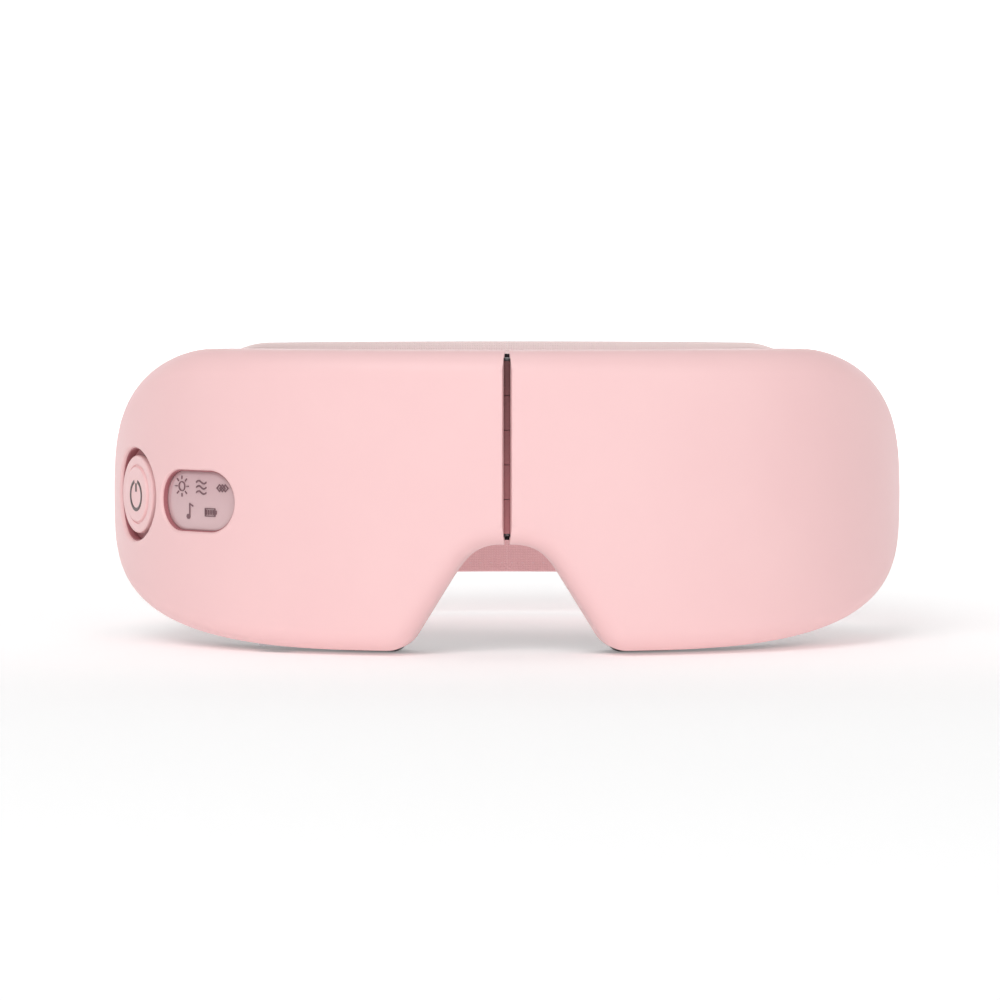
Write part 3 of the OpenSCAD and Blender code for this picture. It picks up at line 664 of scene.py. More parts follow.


# The hinge's pink with painted shade.
HINGE_PAINTED_SHADE = hinge_material()
BOARD = board_material()
GLASS = glass_material()
ICON = moulded("icon_print", srgb(128, 96, 102), srgb(120, 88, 94), 0.5)
POWER_PRINT = metal("power_sign", (0.19, 0.14, 0.14, 1), (0.1, 0.07, 0.07, 1), 0.32)
CAD_MATERIALS = {
    "air_hoses": HOSE, "speaker": BLACK, "motor_can": STEEL, "eccentric_weight": IRON,
    "hinge_leaf": HINGE_PAINTED_SHADE, "hinge_screws": SCREW_STEEL, "housing_screws": SCREW_STEEL,
    "main_circuit_board": BOARD, "board_screws": SCREW_STEEL, "indicator_icons": ICON,
    "indicator_board": BOARD, "power_button_seat": SEAT_PAINTED_SHADE, "tact_switch": STEEL, "button_board": BOARD,
    "charging_port": STEEL, "hinge_pin": IRON, "battery_cell": FOIL, "battery_tray": CHARCOAL,
    "air_pump_motor": STEEL, "air_pump_head": IVORY, "pump_crank": IVORY, "air_manifold": IVORY,
    "solenoid_valve": STEEL, "valve_plunger": BRASS, "strap_anchor": CHARCOAL,
}


def dress_cad_nodes():
    """Gives every CAD node that stays in sight its procedural material."""
    for name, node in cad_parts.items():
        plain = name.removeprefix("left_").removeprefix("right_")
        if plain in CAD_MATERIALS:
            dress(node, CAD_MATERIALS[plain])


# ---- Camera, light and floor ----
def make_camera():
    """A long lens a little above the mask's middle."""
    elevation, distance = math.radians(3), 1230
    target = Vector((0, FRONT_Y + 30, MID_Z))
    data = bpy.data.cameras.new("camera")
    data.lens = 169.8
    data.sensor_width = 36
    data.shift_x = -0.007
    data.clip_end = 50
    camera = add_to_scene("camera", data)
    back = Vector((0, -math.cos(elevation), math.sin(elevation)))
    camera.location = (target + back * distance) * MM
    camera.rotation_euler = (-back).to_track_quat("-Z", "Y").to_euler()
    bpy.context.scene.camera = camera


def area_light(name, place, size, power, aim):
    """A square soft box; its place and aim are in metres."""
    data = bpy.data.lights.new(name, "AREA")
    data.size = size
    data.energy = power
    light = add_to_scene(name, data)
    light.location = place
    light.rotation_euler = (Vector(aim) - Vector(place)).to_track_quat("-Z", "Y").to_euler()


def make_stage():
    """A pale sweep: a floor that rises into a backdrop behind the mask. It glows with painted light, dim at
    the front and near the mask, brighter towards the back.
    """
    reach, rise, bend, width = 3.0, 3.0, 1.0, 8.0
    profile = [(-6.0, 0.0), (reach, 0.0)]
    profile += [(reach + bend * math.sin(a), bend * (1 - math.cos(a)))
        for a in spread(0, math.pi / 2, 17)[1:]]
    profile.append((reach + bend, rise))
    columns = spread(-width, width, 9)
    mesh = bpy.data.meshes.new("floor")
    mesh.from_pydata([(x, y, z) for y, z in profile for x in columns], [],
        [f[::-1] for f in band_faces(len(profile), len(columns), False)])
    mesh.shade_smooth()
    made = Nodes("floor", Specular_IOR_Level=0.1, Emission_Color=(1, 1, 1, 1))
    made.blotch((0.93, 0.93, 0.93, 1), (0.91, 0.91, 0.91, 1), 3)
    # Painted light: the floor glows, dimmer near the mask and brighter towards the backdrop.
    glow = made.gradient(1, -0.4, 1.6, 0.16, 0.85, interpolation_type="SMOOTHSTEP")
    made.tree.links.new(glow, made.shader.inputs["Emission Strength"])
    made.rough(made.noise(6), 0.8, 0.9)
    mesh.materials.append(made.material)
    add_to_scene("floor", mesh)


def make_light():
    world = bpy.data.worlds.new("studio")
    world.use_nodes = True
    world.node_tree.nodes["Background"].inputs["Color"].default_value = (1, 1, 1, 1)
    world.node_tree.nodes["Background"].inputs["Strength"].default_value = 0.33
    bpy.context.scene.world = world
    bpy.context.scene.view_settings.view_transform = "Standard"
    area_light("key", (-0.7, -1.8, 1.5), 1.3, 22, (0, 0, 0.04))
    area_light("fill", (0.8, -2.1, 0.6), 1.3, 11.5, (0, 0, 0.04))
    area_light("top", (0.0, 0.3, 1.8), 1.4, 5, (0, 0, 0.04))


# ---- Shells and housings ----
def shell_form():
    """The tray of one half: rounded edges, a rim behind and an inner wall."""
    in_r = EDGE_R - WALL
    inner_edge = GAP_W / 2 + WALL
    turns = [math.radians(a) for a in spread(0, 90, 11)]
    loops = [half_loop(EDGE_R * (1 - math.sin(a)), GAP_W / 2 + CENTRE_R * (1 - math.sin(a)),
        EDGE_R * (1 - math.cos(a))) for a in turns]
    loops += [half_loop(0, fold_edge(n), n) for n in (AXIS_DEPTH, 10.5, SHELL_DEPTH - 0.3)]
    loops.append(half_loop(0.3, fold_edge(SHELL_DEPTH) + 0.3, SHELL_DEPTH))
    loops.append(half_loop(WALL, fold_edge(SHELL_DEPTH) + WALL, SHELL_DEPTH))
    loops.append(half_loop(WALL, inner_edge, AXIS_DEPTH))
    loops += [half_loop(WALL + in_r * (1 - math.sin(a)), inner_edge, WALL + in_r * (1 - math.cos(a)))
        for a in reversed(turns[::2])]
    return skin(loops, 24, 8)


def hinge_room():
    """The room for the hinge's knuckles, with the cable window under it."""
    room = lathe([(ROOM_R, 0), (ROOM_R, TOP_Z - WALL - KNUCKLE_LOW + 1)], 64)
    room.moved(Matrix.Translation((0, AXIS_Y, KNUCKLE_LOW - 1)) @ Matrix.Rotation(math.pi / 2, 4, "X"))
    return room


def cable_window(inner_x):
    """The way for the hose and the ribbon through one half, from inner_x outwards."""
    return box_form((inner_x, FRONT_Y + 11.6, KNUCKLE_LOW + 0.5), (14, FRONT_Y + 15.8, KNUCKLE_LOW + 11.3))


def boss(s, z, first_n, last_n, outer, bore, bore_n):
    """A hollow screw post on the inside of a shell."""
    profile = [(0.01, bore_n), (bore, bore_n), (bore, last_n), (outer - 0.3, last_n), (outer, last_n - 0.3),
        (outer, first_n + 1.5), (outer + 0.6, first_n + 0.5), (outer + 1, first_n), (0.01, first_n)]
    return lathe(profile, 40).moved(face_frame(s, 0, z))


DISH_LIP, DISPLAY_LIP = 0.8, 0.7
DISH_OUTLINE, DISPLAY_OUTLINE = circle_outline(DISH_R), stadium_outline(DISPLAY_W, DISPLAY_H)


def dish_ring():
    """The rounded lip and the wall of the dish round the button."""
    profile = arc((DISH_LIP, DISH_LIP), DISH_LIP, 90, 180, 9)
    profile += [(0.0, 3.1), (DISH_LIP * 0.9, 3.1), (DISH_LIP, WALL)]
    return sweep_round(BUTTON_S, BUTTON_Z, DISH_OUTLINE, profile)


def display_ring():
    """The bevelled lip and the wall of the display's recess."""
    profile = arc((DISPLAY_LIP, DISPLAY_LIP), DISPLAY_LIP, 90, 180, 7)
    profile += [(0.0, LENS_N + 0.3), (DISPLAY_LIP, LENS_N + 0.3)]
    return sweep_round(DISPLAY_S, MID_Z, DISPLAY_OUTLINE, profile)


def recess_shade_liners():
    """Thin sheets in darker pink over the walls inside the dish and the display's recess: painted shade."""
    dish = [(-0.25, 0.95), (0.03, 0.85), (0.03, 3.02), (-0.25, 3.02)]
    recess = [(-0.3, 0.85), (0.03, 0.75), (0.03, LENS_N - 0.02), (-0.3, LENS_N - 0.02)]
    form = sweep_round(BUTTON_S, BUTTON_Z, DISH_OUTLINE, dish)
    return form.join(sweep_round(DISPLAY_S, MID_Z, DISPLAY_OUTLINE, recess))


def port_cutter():
    """The slot for the charging port in the shell's lower edge."""
    base = face_frame(PORT_S, PORT_N, LOW_Z)
    return tube([[base @ Vector((x, y, z)) for x, y in stadium_outline(9.0, 3.2)(0.25)] for z in (-3, 5)])


def make_shells():
    tray = shell_form()
    posts = Form()
    for s, z in BOSSES:
        posts.join(boss(s, z, WALL - 0.3, SHELL_DEPTH, BOSS_R, SCREW_R, 5))
    for z in (MID_Z + 1, MID_Z + 31):
        posts.join(boss(14, z, WALL - 0.3, 8.15, BOSS_R, SCREW_R, 3.2))
    cutters = [hinge_room(), cable_window(5)]

    left = make_object("left_shell_moulding", tray)
    carve(left, cutters)
    merge(left, make_object("posts", posts))
    finish_piece(left, PINK, "left_half", "shell", "left_outer_shell")

    window = sweep_round(DISPLAY_S, MID_Z, DISPLAY_OUTLINE,
        [(DISPLAY_LIP, -2), (DISPLAY_LIP, WALL + 1)], ring=False)
    hole = sweep_round(BUTTON_S, BUTTON_Z, DISH_OUTLINE, [(DISH_LIP, -2), (DISH_LIP, WALL + 1)], ring=False)
    right = make_object("right_shell_moulding", tray.mirrored())
    carve(right, [c.mirrored() for c in cutters + [window, hole, port_cutter()]])
    for s, z in ((27.5, MID_Z + 1), (58.5, MID_Z + 1), (58.5, MID_Z + 25)):
        posts.join(boss(s, z, WALL - 0.3, 5.15, 2, 0.7, 3))
    merge(right, make_object("posts", posts.mirrored()))
    merge(right, make_object("rings", dish_ring().join(display_ring()).mirrored()))
    finish_piece(right, PINK, "right_half", "shell", "right_outer_shell")
    # Sheets of painted shade over the recess walls.
    shade_liners = make_object("recess_shade_liners", recess_shade_liners().mirrored(), 50)
    finish_piece(shade_liners, RECESS_PAINTED_SHADE, "right_half", "shell")


def make_housings():
    """The dark plate that closes each half, with its lip, screw holes and cable window."""
    plate_edge = fold_edge(PLATE_BACK) + 0.3
    lip_edge = fold_edge(SHELL_DEPTH) + WALL + 0.15
    lip_out, lip_t, lip_n = WALL + 0.15, 1.3, 11
    plate = skin([
        half_loop(lip_out + lip_t, lip_edge + lip_t, PLATE_N),
        half_loop(lip_out + lip_t, lip_edge + lip_t, lip_n),
        half_loop(lip_out, lip_edge, lip_n), half_loop(lip_out, lip_edge, PLATE_N),
        half_loop(0.4, plate_edge, PLATE_N), half_loop(0.4, plate_edge, PLATE_BACK - 0.5),
        half_loop(0.55, plate_edge + 0.15, PLATE_BACK - 0.15),
        half_loop(0.9, plate_edge + 0.5, PLATE_BACK)], 10, 24)
    cutters = [cable_window(7)]
    for s, z in BOSSES:
        holes = [(BOSS_R + 0.15, 10), (BOSS_R + 0.15, PLATE_N + 0.02), (SCREW_R + 0.2, PLATE_N + 0.02),
            (SCREW_R + 0.2, PLATE_BACK - 1.15), (HEAD_R + 0.15, PLATE_BACK - 1.15),
            (HEAD_R + 0.15, PLATE_BACK + 2)]
        cutters.append(lathe(holes, 40).moved(face_frame(s, 0, z)))
    for side, half, turned in (("left", plate, cutters),
            ("right", plate.mirrored(), [c.mirrored() for c in cutters])):
        piece = make_object(side + "_housing_moulding", half)
        carve(piece, turned)
        finish_piece(piece, CHARCOAL, side + "_half", "housing", side + "_inner_housing")


# ---- Button and display ----
def make_button():
    """The cap with its two steps, and the power sign let into it."""
    place = face_frame(BUTTON_S, 0, BUTTON_Z)
    crown_r = BUTTON_R - 3
    profile = [(0.01, 0.62), (2.6, 0.6), (5.2, 0.56), (crown_r - 0.5, 0.52), (crown_r - 0.15, 0.6),
        (crown_r, 0.85), (crown_r + 0.12, 1.3), (crown_r + 0.42, 1.34), (crown_r + 0.62, 1.0),
        (BUTTON_R - 0.8, 0.92),
        (BUTTON_R - 0.3, 0.98), (BUTTON_R - 0.08, 1.15), (BUTTON_R, 1.4), (BUTTON_R, 2.3),
        (STEM_R, 2.3), (STEM_R, STEM_N), (0.01, STEM_N)]
    cap = make_object("power_button_moulding", lathe(profile, 96).moved(place).mirrored(), 40)
    finish_piece(cap, BUTTON_PINK, "power_button", "shell", "power_button_cap")

    ring_r, line, open_turn = 3.75, 1.0, math.radians(17)
    cross = [(line / 2 * math.cos(a), 0.14 * math.sin(a)) for a in round_turn(12)]
    open_ring = [[((ring_r + u) * math.cos(a), 0.58 - v, (ring_r + u) * math.sin(a)) for u, v in cross]
        for a in spread(math.pi / 2 + open_turn, math.pi * 2.5 - open_turn, 61)]
    bar = [[(u, 0.59 - v, z) for u, v in cross] for z in spread(1.0, 3.2, 7)]
    sign = tube(open_ring).join(tube(bar))
    sign.moved(Matrix.Translation((0, 0, -0.3)))
    piece = make_object("power_sign", sign.moved(place).mirrored(), 50)
    finish_piece(piece, POWER_PRINT, "power_button", "icon_print")


def make_display():
    """The window's pane with softened edges."""
    back_n, steps = LENS_N + LENS_T, 10
    profile = [(LENS_RIM, back_n), (LENS_RIM, LENS_N + 0.35), (-0.1, LENS_N + 0.3), (-0.25, LENS_N + 0.1),
        (-0.6, LENS_N)]
    loops = [wrapped(DISPLAY_S, MID_Z, DISPLAY_OUTLINE(grow), n) for grow, n in profile]
    count = len(loops[0])
    form = Form().add([p for loop in loops for p in loop], band_faces(len(loops), count, True))
    shrink = [(DISPLAY_OUTLINE(-0.6), LENS_N), (DISPLAY_OUTLINE(LENS_RIM), back_n)]
    for (points, n), start in zip(shrink, ((len(loops) - 1) * count, 0)):
        before = start
        for k in range(1, steps):
            share = 1 - k / steps
            base = len(form.points)
            form.add(wrapped(DISPLAY_S, MID_Z, [(x * share, y * share) for x, y in points], n), [])
            form.faces += [[before + j, before + (j + 1) % count, base + (j + 1) % count, base + j]
                for j in range(count)]
            before = base
        form.faces.append([before + j for j in range(count)])
    pane = make_object("display_pane", form.mirrored(), 40)
    finish_piece(pane, GLASS, "right_half", "display_glass", "display_window")


# ---- Cushions, linings and air bags ----
def simulate(piece, pinned, pressure, cap, frames=20):
    """Inflates a padded piece with cloth simulation. Pinned points stay, and none moves past cap."""
    before = [v.co.copy() for v in piece.data.vertices]
    group = piece.vertex_groups.new(name="pinned")
    for index, weight in pinned.items():
        group.add([index], weight, "REPLACE")
    cloth = piece.modifiers.new("cloth", "CLOTH")
    cloth.settings.quality = 6
    cloth.settings.mass = 0.15
    cloth.settings.tension_stiffness = 12
    cloth.settings.compression_stiffness = 12
    cloth.settings.bending_stiffness = 0.4
    cloth.settings.use_pressure = True
    cloth.settings.uniform_pressure_force = pressure
    cloth.settings.vertex_group_mass = "pinned"
    cloth.settings.effector_weights.gravity = 0
    cloth.point_cache.frame_start, cloth.point_cache.frame_end = 1, frames
    scene = bpy.context.scene
    for step in range(1, frames + 1):
        scene.frame_set(step)
    shaped = piece.evaluated_get(bpy.context.evaluated_depsgraph_get()).data
    after = [v.co.copy() for v in shaped.vertices]
    piece.modifiers.clear()
    piece.vertex_groups.clear()
    scene.frame_set(1)
    for vertex, old, new in zip(piece.data.vertices, before, after):
        move = new - old
        if move.length > cap * MM:
            move *= cap * MM / move.length
        vertex.co = old + move


def subdivide(piece, levels=1):
    modifier = piece.modifiers.new("smooth", "SUBSURF")
    modifier.levels = modifier.render_levels = levels
    settle(piece)


def stitches(route, normals, length=2.2, pitch=3.2, radius=0.22, sink=0.05):
    """Threads along a route of points, each a small spindle that dips into the cloth at both ends."""
    form = Form()
    sides, rings = 6, 5
    travelled, next_start = 0.0, pitch / 2
    for i in range(len(route) - 1):
        piece_len = (route[i + 1] - route[i]).length
        while next_start < travelled + piece_len:
            share = (next_start - travelled) / piece_len
            centre = route[i].lerp(route[i + 1], share)
            along = (route[i + 1] - route[i]).normalized()
            out = normals[i].lerp(normals[i + 1], share).normalized()
            side = along.cross(out).normalized()
            loops = []
            for r in range(rings):
                t = r / (rings - 1) * 2 - 1
                lift = radius * (1 - 1.6 * t * t) - sink
                fat = radius * math.sqrt(max(0.06, 1 - t * t * 0.9))
                core = centre + along * (t * length / 2) + out * lift
                loops.append([core + side * (fat * math.cos(a)) + out * (fat * math.sin(a))
                    for a in round_turn(sides)])
            form.join(tube(loops))
            next_start += pitch
        travelled += piece_len
    return form


# The cushion's cross-section, from the base at the outline round the eye's opening and back.
# Each row is (t, rise, flare, pinned).
PAD_ROWS = (
    [(t, 0.0, 0.0, 1.0) for t in (1.0, 0.8, 0.6, 0.4, 0.2, 0.0)]
    + [(0.0, rise, 0.0, 0.3) for rise in (0.25, 0.5, 0.72)]
    + [(0.02, 0.88, 0.2, 0.2), (0.07, 0.955, 0.5, 0.6), (0.1, 0.93, 0.5, 1.0), (0.13, 0.96, 0.5, 0.6)]
    + [(0.22, 0.985, 0.0, 0.0), (0.34, 1.0, 0.0, 0.0), (0.46, 1.0, 0.0, 0.0), (0.58, 1.0, 0.0, 0.0),
    (0.7, 0.995, 0.0, 0.0), (0.8, 0.985, 0.0, 0.0)]
    + [(0.87, 0.96, 0.0, 0.6), (0.9, 0.92, 0.0, 1.0), (0.93, 0.93, 0.0, 0.6), (0.975, 0.85, 0.0, 0.2),
    (1.0, 0.7, 0.0, 0.2), (1.0, 0.5, 0.0, 0.3), (1.0, 0.25, 0.0, 0.5)])
INNER_SEAM, OUTER_SEAM = 11, 20


def make_pads():
    """A ring of foam in soft leather round each eye, with a sewn channel along both its edges."""
    loops = []
    for t, rise, flare, _ in PAD_ROWS:
        inset = 1.2 - 0.9 * ramp(t * 1.5 - 0.5) * (1 - rise) * (1 if rise > 0 else 0)
        loops.append(pad_loop(t, inset, rise, flare))
    count = len(loops[0])
    form = Form()
    lengths = [0.0]
    for i in range(1, count):
        lengths.append(lengths[-1] + (loops[14][i] - loops[14][i - 1]).length)
    flat = [(lengths[j], 12.0 * r / 4) for r in range(len(loops)) for j in range(count)]
    form.add([p for loop in loops for p in loop], band_faces(len(loops), count, True, True), flat)
    pad = make_object("left_cushion", form, 60)
    pinned = {}
    for r, (_, _, _, hold) in enumerate(PAD_ROWS):
        for j in range(count):
            thin = 1 - ramp((loops[r][j].x - 22) / 16)
            pinned[r * count + j] = max(hold, thin)
    simulate(pad, pinned, 4.0, 1.6)
    for vertex in pad.data.vertices:
        vertex.co.z = max(vertex.co.z, 0.03 * MM)
    seams = []
    for r in (INNER_SEAM, OUTER_SEAM):
        points = [pad.data.vertices[r * count + j].co / MM for j in range(count)]
        outside = [pad.data.vertices[r * count + j].normal.copy() for j in range(count)]
        keep = [j for j in range(count) if points[j].x > 26]
        seams.append(([points[j] for j in keep], [outside[j] for j in keep]))
    subdivide(pad)
    thread = Form()
    for points, outside in seams:
        thread.join(stitches(points, outside, 2.4, 3.6, 0.25))
    mirrored_pad = mirror_object(pad, "right_cushion")
    for side, piece in (("left", pad), ("right", mirrored_pad)):
        finish_piece(piece, LEATHER, side + "_half", "cushion", side + "_face_pad")
    on_both_halves("cushion_stitching", thread, DARK_THREAD, "cushion")


def mirror_object(piece, name):
    """A copy of a piece on the wearer's right."""
    mesh = piece.data.copy()
    mesh.transform(Matrix.Scale(-1, 4, (1, 0, 0)))
    mesh.flip_normals()
    return add_to_scene(name, mesh)


def oval_grid(s, z, a, b, front, back, steps=20, rings=9):
    """A crowned oval of two sides: front and back give n for a share 0 (middle) to 1 (rim)."""
    rim = [(a * math.cos(t), b * math.sin(t)) for t in round_turn(4 * steps)]
    form = Form()
    count = len(rim)
    shares = [k / rings for k in range(1, rings + 1)]
    for depth, order in ((front, shares), (back, shares[:-1])):
        for share in order:
            form.add([at(s + x * share, depth(share), z + y * share) for x, y in rim], [],
                [(x * share, y * share) for x, y in rim])
    first = [k * count for k in range(rings)]
    second = [(rings + k) * count for k in range(rings - 1)] + [first[-1]]
    for chain, flip in ((first, False), (second, True)):
        for a_row, b_row in zip(chain, chain[1:]):
            for j in range(count):
                m = (j + 1) % count
                quad = [a_row + j, b_row + j, b_row + m, a_row + m]
                form.faces.append(quad[::-1] if flip else quad)
    for depth, chain, flip in ((front, first, False), (back, second, True)):
        base = len(form.points)
        form.add([at(s, depth(0), z)], [], [(0, 0)])
        for j in range(count):
            face = [base, chain[0] + j, chain[0] + (j + 1) % count]
            form.faces.append(face[::-1] if flip else face)
    return form


def make_linings():
    """Cloth pads over the eyes: a quilted middle, a sewn oval round it and a rolled rim."""
    front_n, back_n = PAD_BASE + 3.4, PAD_BASE + 4.4
    seam_at, seam_w = 0.72, 0.05

    def face_side(share):
        groove = 0.55 * math.exp(-((share - seam_at) / seam_w) ** 2)
        crown = 1.1 * (1 - share ** 2.5)
        edge = 0.5 * ramp((share - 0.93) / 0.07)
        return back_n - 0.35 + crown - groove - edge

    def hidden_side(share):
        return front_n + 0.1
    a, b = EYE_A - 0.65, EYE_B - 0.65
    form = oval_grid(EYE_S, EYE_Z, a, b, hidden_side, face_side, steps=24, rings=26)
    pad = make_object("left_eye_lining", form, 60)
    seam = [(seam_at * a * math.cos(t), seam_at * b * math.sin(t)) for t in spread(0, 2 * math.pi, 97)]
    route = [at(EYE_S + x, face_side(seam_at) + 0.02, EYE_Z + y) for x, y in seam]
    outside = [(face_frame(EYE_S + x, 0, EYE_Z).to_3x3() @ Vector((0, 1, 0))) for x, y in seam]
    thread = stitches(route, outside, 2.0, 3.0, 0.2)
    for side, piece in (("left", pad), ("right", mirror_object(pad, "right_eye_lining"))):
        finish_piece(piece, LINING, side + "_half", "lining", side + "_inner_lining")
    on_both_halves("lining_stitching", thread, DARK_THREAD, "lining")


def make_bags():
    """Air bags with a welded flange, and the heating films, each made once per side."""
    def crowned(low_n, high_n, flange, out):
        middle = (low_n + high_n) / 2
        reach = (high_n - low_n) / 2

        def depth(share):
            if share > 1 - flange:
                return middle + out * 0.25
            t = share / (1 - flange)
            return middle + out * (0.25 + (reach - 0.25) * max(0.0, 1 - t ** 4) ** 0.5)
        return depth

    bags = [("eye_air_bag", EYE_S, EYE_Z, EYE_A - 1.2, EYE_B - 1.2, PAD_BASE, PAD_BASE + 2.8, 0.08,
        BLADDER, "air_bag", "eye_airbag"),
        ("temple_air_bag", BAG_S, MID_Z, 13, 17, PAD_BASE, PAD_BASE + 3.2, 0.1,
        BLADDER, "air_bag", "temple_airbag"),
        ("heater", EYE_S, EYE_Z, EYE_A - 2.5, EYE_B - 2.5, PAD_BASE + 2.9, PAD_BASE + 3.2, 0.1,
        FILM, "heating_film", "heating_film")]
    for name, s, z, a, b, low_n, high_n, flange, material, slot, node in bags:
        form = oval_grid(s, z, a, b, crowned(low_n, high_n, flange, -1), crowned(low_n, high_n, flange, 1),
            rings=16)
        on_both_halves(name, form, material, slot, node, 50)


# ---- Nose gusset ----
def make_gusset():
    """A pleated knit cover behind the hinge, like a bellows."""
    half_w, first_y, thick = 11.6, FRONT_Y + 16, 1.1
    low, high = LOW_Z + NOTCH_H + 0.6, TOP_Z - 1.1
    form = Form()
    columns, rows = spread(-half_w, half_w, 97), spread(low, high, 23)

    def middle_y(x):
        calm = ramp((half_w - abs(x)) / 3)
        return first_y + thick / 2 + 0.24 * calm * math.sin(x * 2 * math.pi / 2.9)
    cloth = 0.3
    for out in (-1, 1):
        form.add([(x, middle_y(x) + out * cloth, z) for z in rows for x in columns],
            band_faces(len(rows), len(columns), False), [(x, z) for z in rows for x in columns])
    side = len(rows) * len(columns)
    count = len(columns)
    rim = list(range(count)) + [r * count + count - 1 for r in range(1, len(rows))]
    rim += [(len(rows) - 1) * count + j for j in range(count - 2, -1, -1)]
    rim += [r * count for r in range(len(rows) - 2, 0, -1)]
    for a, b in zip(rim, rim[1:] + rim[:1]):
        form.faces.append([a, b, side + b, side + a])
    piece = make_object("nose_bellows", form, 50)
    piece.data.materials.append(GUSSET_KNIT)
    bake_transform(piece)
    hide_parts("nose_gusset")


def bend_over_hinge(name, node, material):
    """A copy of a CAD lead that bends over the hinge, subdivided along its length."""
    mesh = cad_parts[node].data.copy()
    piece = add_to_scene(name, mesh)
    shaped = bmesh.new()
    shaped.from_mesh(mesh)
    bmesh.ops.remove_doubles(shaped, verts=shaped.verts, dist=1e-6)
    bmesh.ops.subdivide_edges(shaped, edges=[e for e in shaped.edges if e.calc_length() > 1.2 * MM],
        cuts=3, use_grid_fill=True)
    shaped.to_mesh(mesh)
    shaped.free()
    shade(mesh, 40)
    dress(piece, material)
    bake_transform(piece)
    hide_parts(node)


def make_valve_spring():
    """The valve's coil spring."""
    foot, height, turns, wire = MID_Z + 7.05, 3.0, 4, 0.26
    centre = at(112.5, 7, 0)
    loops = []
    for turn in spread(0, 2 * math.pi * turns, 24 * turns + 1):
        radial = Vector((math.cos(turn), math.sin(turn), 0))
        level = foot + wire + (height - 2 * wire) * ramp(turn / (2 * math.pi * turns)) ** 0.9
        loops.append([centre + radial * (2.4 + wire * math.cos(a))
            + Vector((0, 0, level + wire * math.sin(a))) for a in round_turn(8)])
    piece = make_object("valve_coil", tube(loops))
    finish_piece(piece, SCREW_STEEL, "left_half", "motor_steel", "valve_spring")
    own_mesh(piece)


# ---- Strap ----
ANCHOR = at(ANCHOR_S, ANCHOR_N, 0)
STRAP_A = ANCHOR.x - (STRAP_BORE + STRAP_T / 2 + 0.1) - STRAP_GAP
STRAP_B = (cad_box[1].y / MM - STRAP_T / 2) - ANCHOR.y


def strap_point(a, out):
    """Plan place and outward direction on the strap at angle a, in degrees, moved out by a layer."""
    c, s = math.cos(math.radians(a)), math.sin(math.radians(a))
    normal = Vector((c / STRAP_A, s / STRAP_B, 0)).normalized()
    gap = STRAP_GAP * (1 - 0.98 * ramp((a - 80) / 10))
    return Vector((gap + STRAP_A * c, ANCHOR.y + STRAP_B * s, 0)) + normal * out, normal


def strap_z(a):
    return MID_Z + STRAP_LIFT * ramp(a / 45)


def strap_half(a):
    return (STRAP_END_W + (STRAP_BACK_W - STRAP_END_W) * ramp(a / 45)) / 2


def strap_route(first, last, count, layer):
    """Plan places, directions, half widths and middle heights along the strap."""
    return [(*strap_point(a, layer(a)), strap_half(a), strap_z(a)) for a in spread(first, last, count)]


def loop_route(count=15):
    """The way round the anchor's bar, from the strap's inside to its outside."""
    route = []
    for turn in spread(0, 178, count):
        t = ramp(turn / 70)
        radius = STRAP_BORE + STRAP_T / 2 + 0.1 - 0.4 * t
        a = math.radians(180 + turn)
        out = Vector((math.cos(a), math.sin(a), 0))
        thick = (STRAP_T - 0.6 * t) / 2
        route.append((ANCHOR.xy.to_3d() + out * radius, -out, STRAP_END_W / 2 - 0.8 * t, MID_Z, thick))
    return route


def ribbon_form(route, thick, stitch_in, rows=20):
    """A flat strap along a route: (place, outward, half width, height). It has rolled edges and a
    pressed line where each hem is sewn, and its long edges stay rounded."""
    sections = []
    flat = []
    travelled = 0.0
    for i, (place, out, half, z, *own) in enumerate(route):
        if i:
            travelled += (place - route[i - 1][0]).length
        t = own[0] if own else thick
        pts = []
        for side in (1, -1):
            heights = spread(half - t, -half + t, rows + 1)
            heights = [k * side for k in heights]
            for h in heights:
                press = 0.28 * math.exp(-((half - abs(h) - stitch_in) / 0.7) ** 2)
                crown = 0.12 * math.sin(h * 1.1) * math.sin(travelled * 0.11)
                pts.append((h, side * (t - press) + crown * 0.5))
            for a in (60, 30, 0, -30, -60):
                r = math.radians(a)
                pts.append((-side * (half - t + t * math.cos(r)), side * t * math.sin(r)))
        sections.append([place + out * o + Vector((0, 0, z + h)) for h, o in pts])
        flat += [(travelled, h) for h, o in pts]
    return tube(sections, flat=flat)


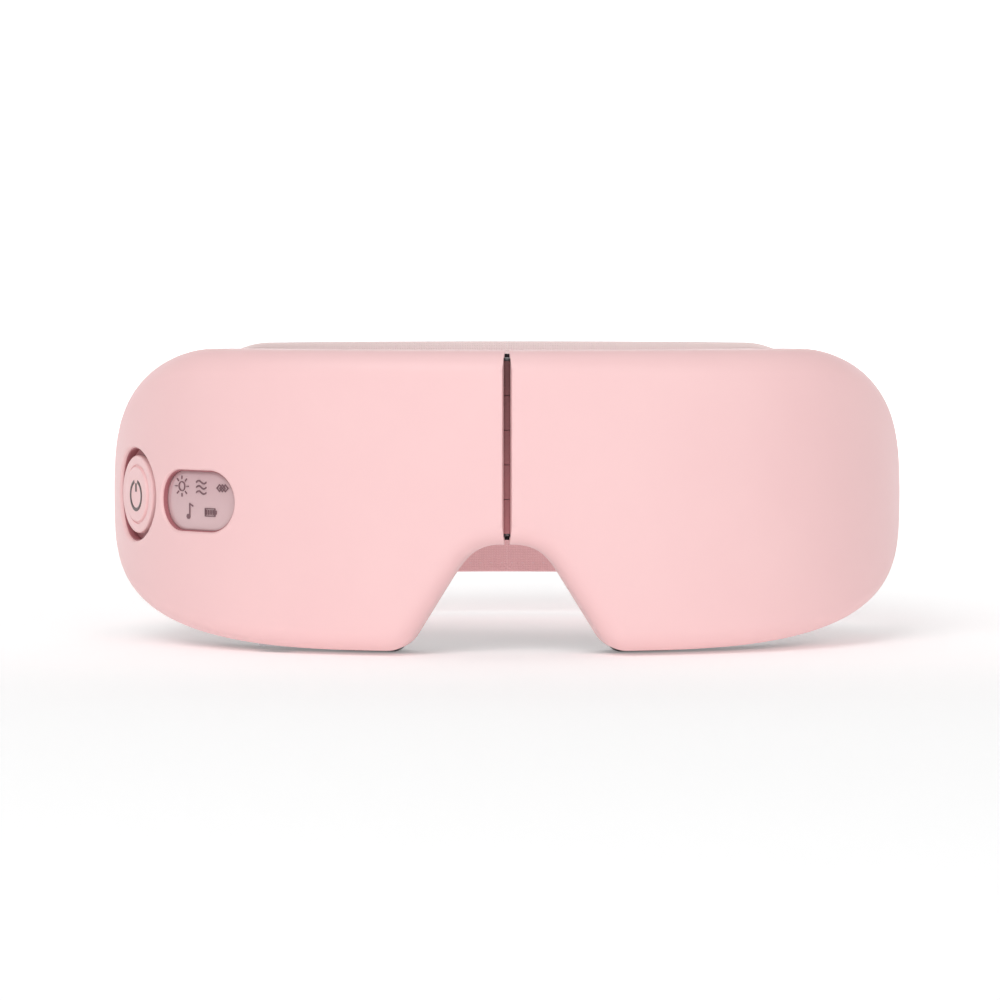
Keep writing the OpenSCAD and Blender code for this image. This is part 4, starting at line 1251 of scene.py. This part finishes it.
def hem_threads(route, thick, stitch_in, sides=(1, -1)):
    """The two hem seams, seen on each given side of a strap."""
    thread = Form()
    for out_side in sides:
        for edge in (1, -1):
            points, normals = [], []
            for place, out, half, z in route:
                high = z + edge * (half - stitch_in)
                points.append(place + out * out_side * (thick - 0.26) + Vector((0, 0, high)))
                normals.append(out * out_side)
            thread.join(stitches(points, normals, 2.0, 3.0, 0.2))
    return thread


def make_straps():
    """The elastic band of each side, looped round its bar, and the tail pressed onto it."""
    back_to_front = strap_route(90, 0, 97, lambda a: 0.0)
    band_route = back_to_front + loop_route()[1:]
    band = ribbon_form(band_route, STRAP_T / 2, 2.6)
    hems = hem_threads(back_to_front[:-2], STRAP_T / 2, 2.6)
    tail_t, lay = 1.5, STRAP_T / 2 + 0.1
    free = STRAP_BORE + 0.1 + STRAP_T / 2 + STRAP_LOOP_R - tail_t

    def tail_layer(a):
        return free + (lay - free) * ramp((a - 3.2) / 11.6) + tail_t / 2
    tail_route = [(p, n, half - 2 - 1.2 * ramp((a - 26) / 3.3) ** 2, z) for (p, n, half, z), a in
        zip(strap_route(3.2, 29.3, 49, tail_layer), spread(3.2, 29.3, 49))]
    tail = ribbon_form(tail_route, tail_t / 2, 1.6, 14)
    tail_threads = hem_threads(tail_route[3:-2], tail_t / 2, 1.6, (1,))
    for side in ("left", "right"):
        body = side + "_strap"
        mine = (lambda f: f) if side == "left" else (lambda f: f.mirrored())
        piece = make_object(side + "_band", mine(band), 60)
        finish_piece(piece, STRAP_KNIT, body, "strap_fabric", side + "_strap")
        end = make_object(side + "_band_tail", mine(tail), 60)
        finish_piece(end, STRAP_KNIT, body, "strap_fabric", side + "_strap_tail")
        sewn = make_object(side + "_band_stitching", mine(Form().join(hems).join(tail_threads)))
        finish_piece(sewn, THREAD, body, "strap_fabric")


# ---- The scene ----
make_camera()
make_light()
make_stage()
dress_cad_nodes()
make_shells()
make_housings()
make_button()
make_display()
make_pads()
make_linings()
make_bags()
make_gusset()
bend_over_hinge("hinge_hose", "crossover_hose", HOSE)
bend_over_hinge("hinge_ribbon", "crossover_ribbon", RIBBON)
make_straps()
make_valve_spring()
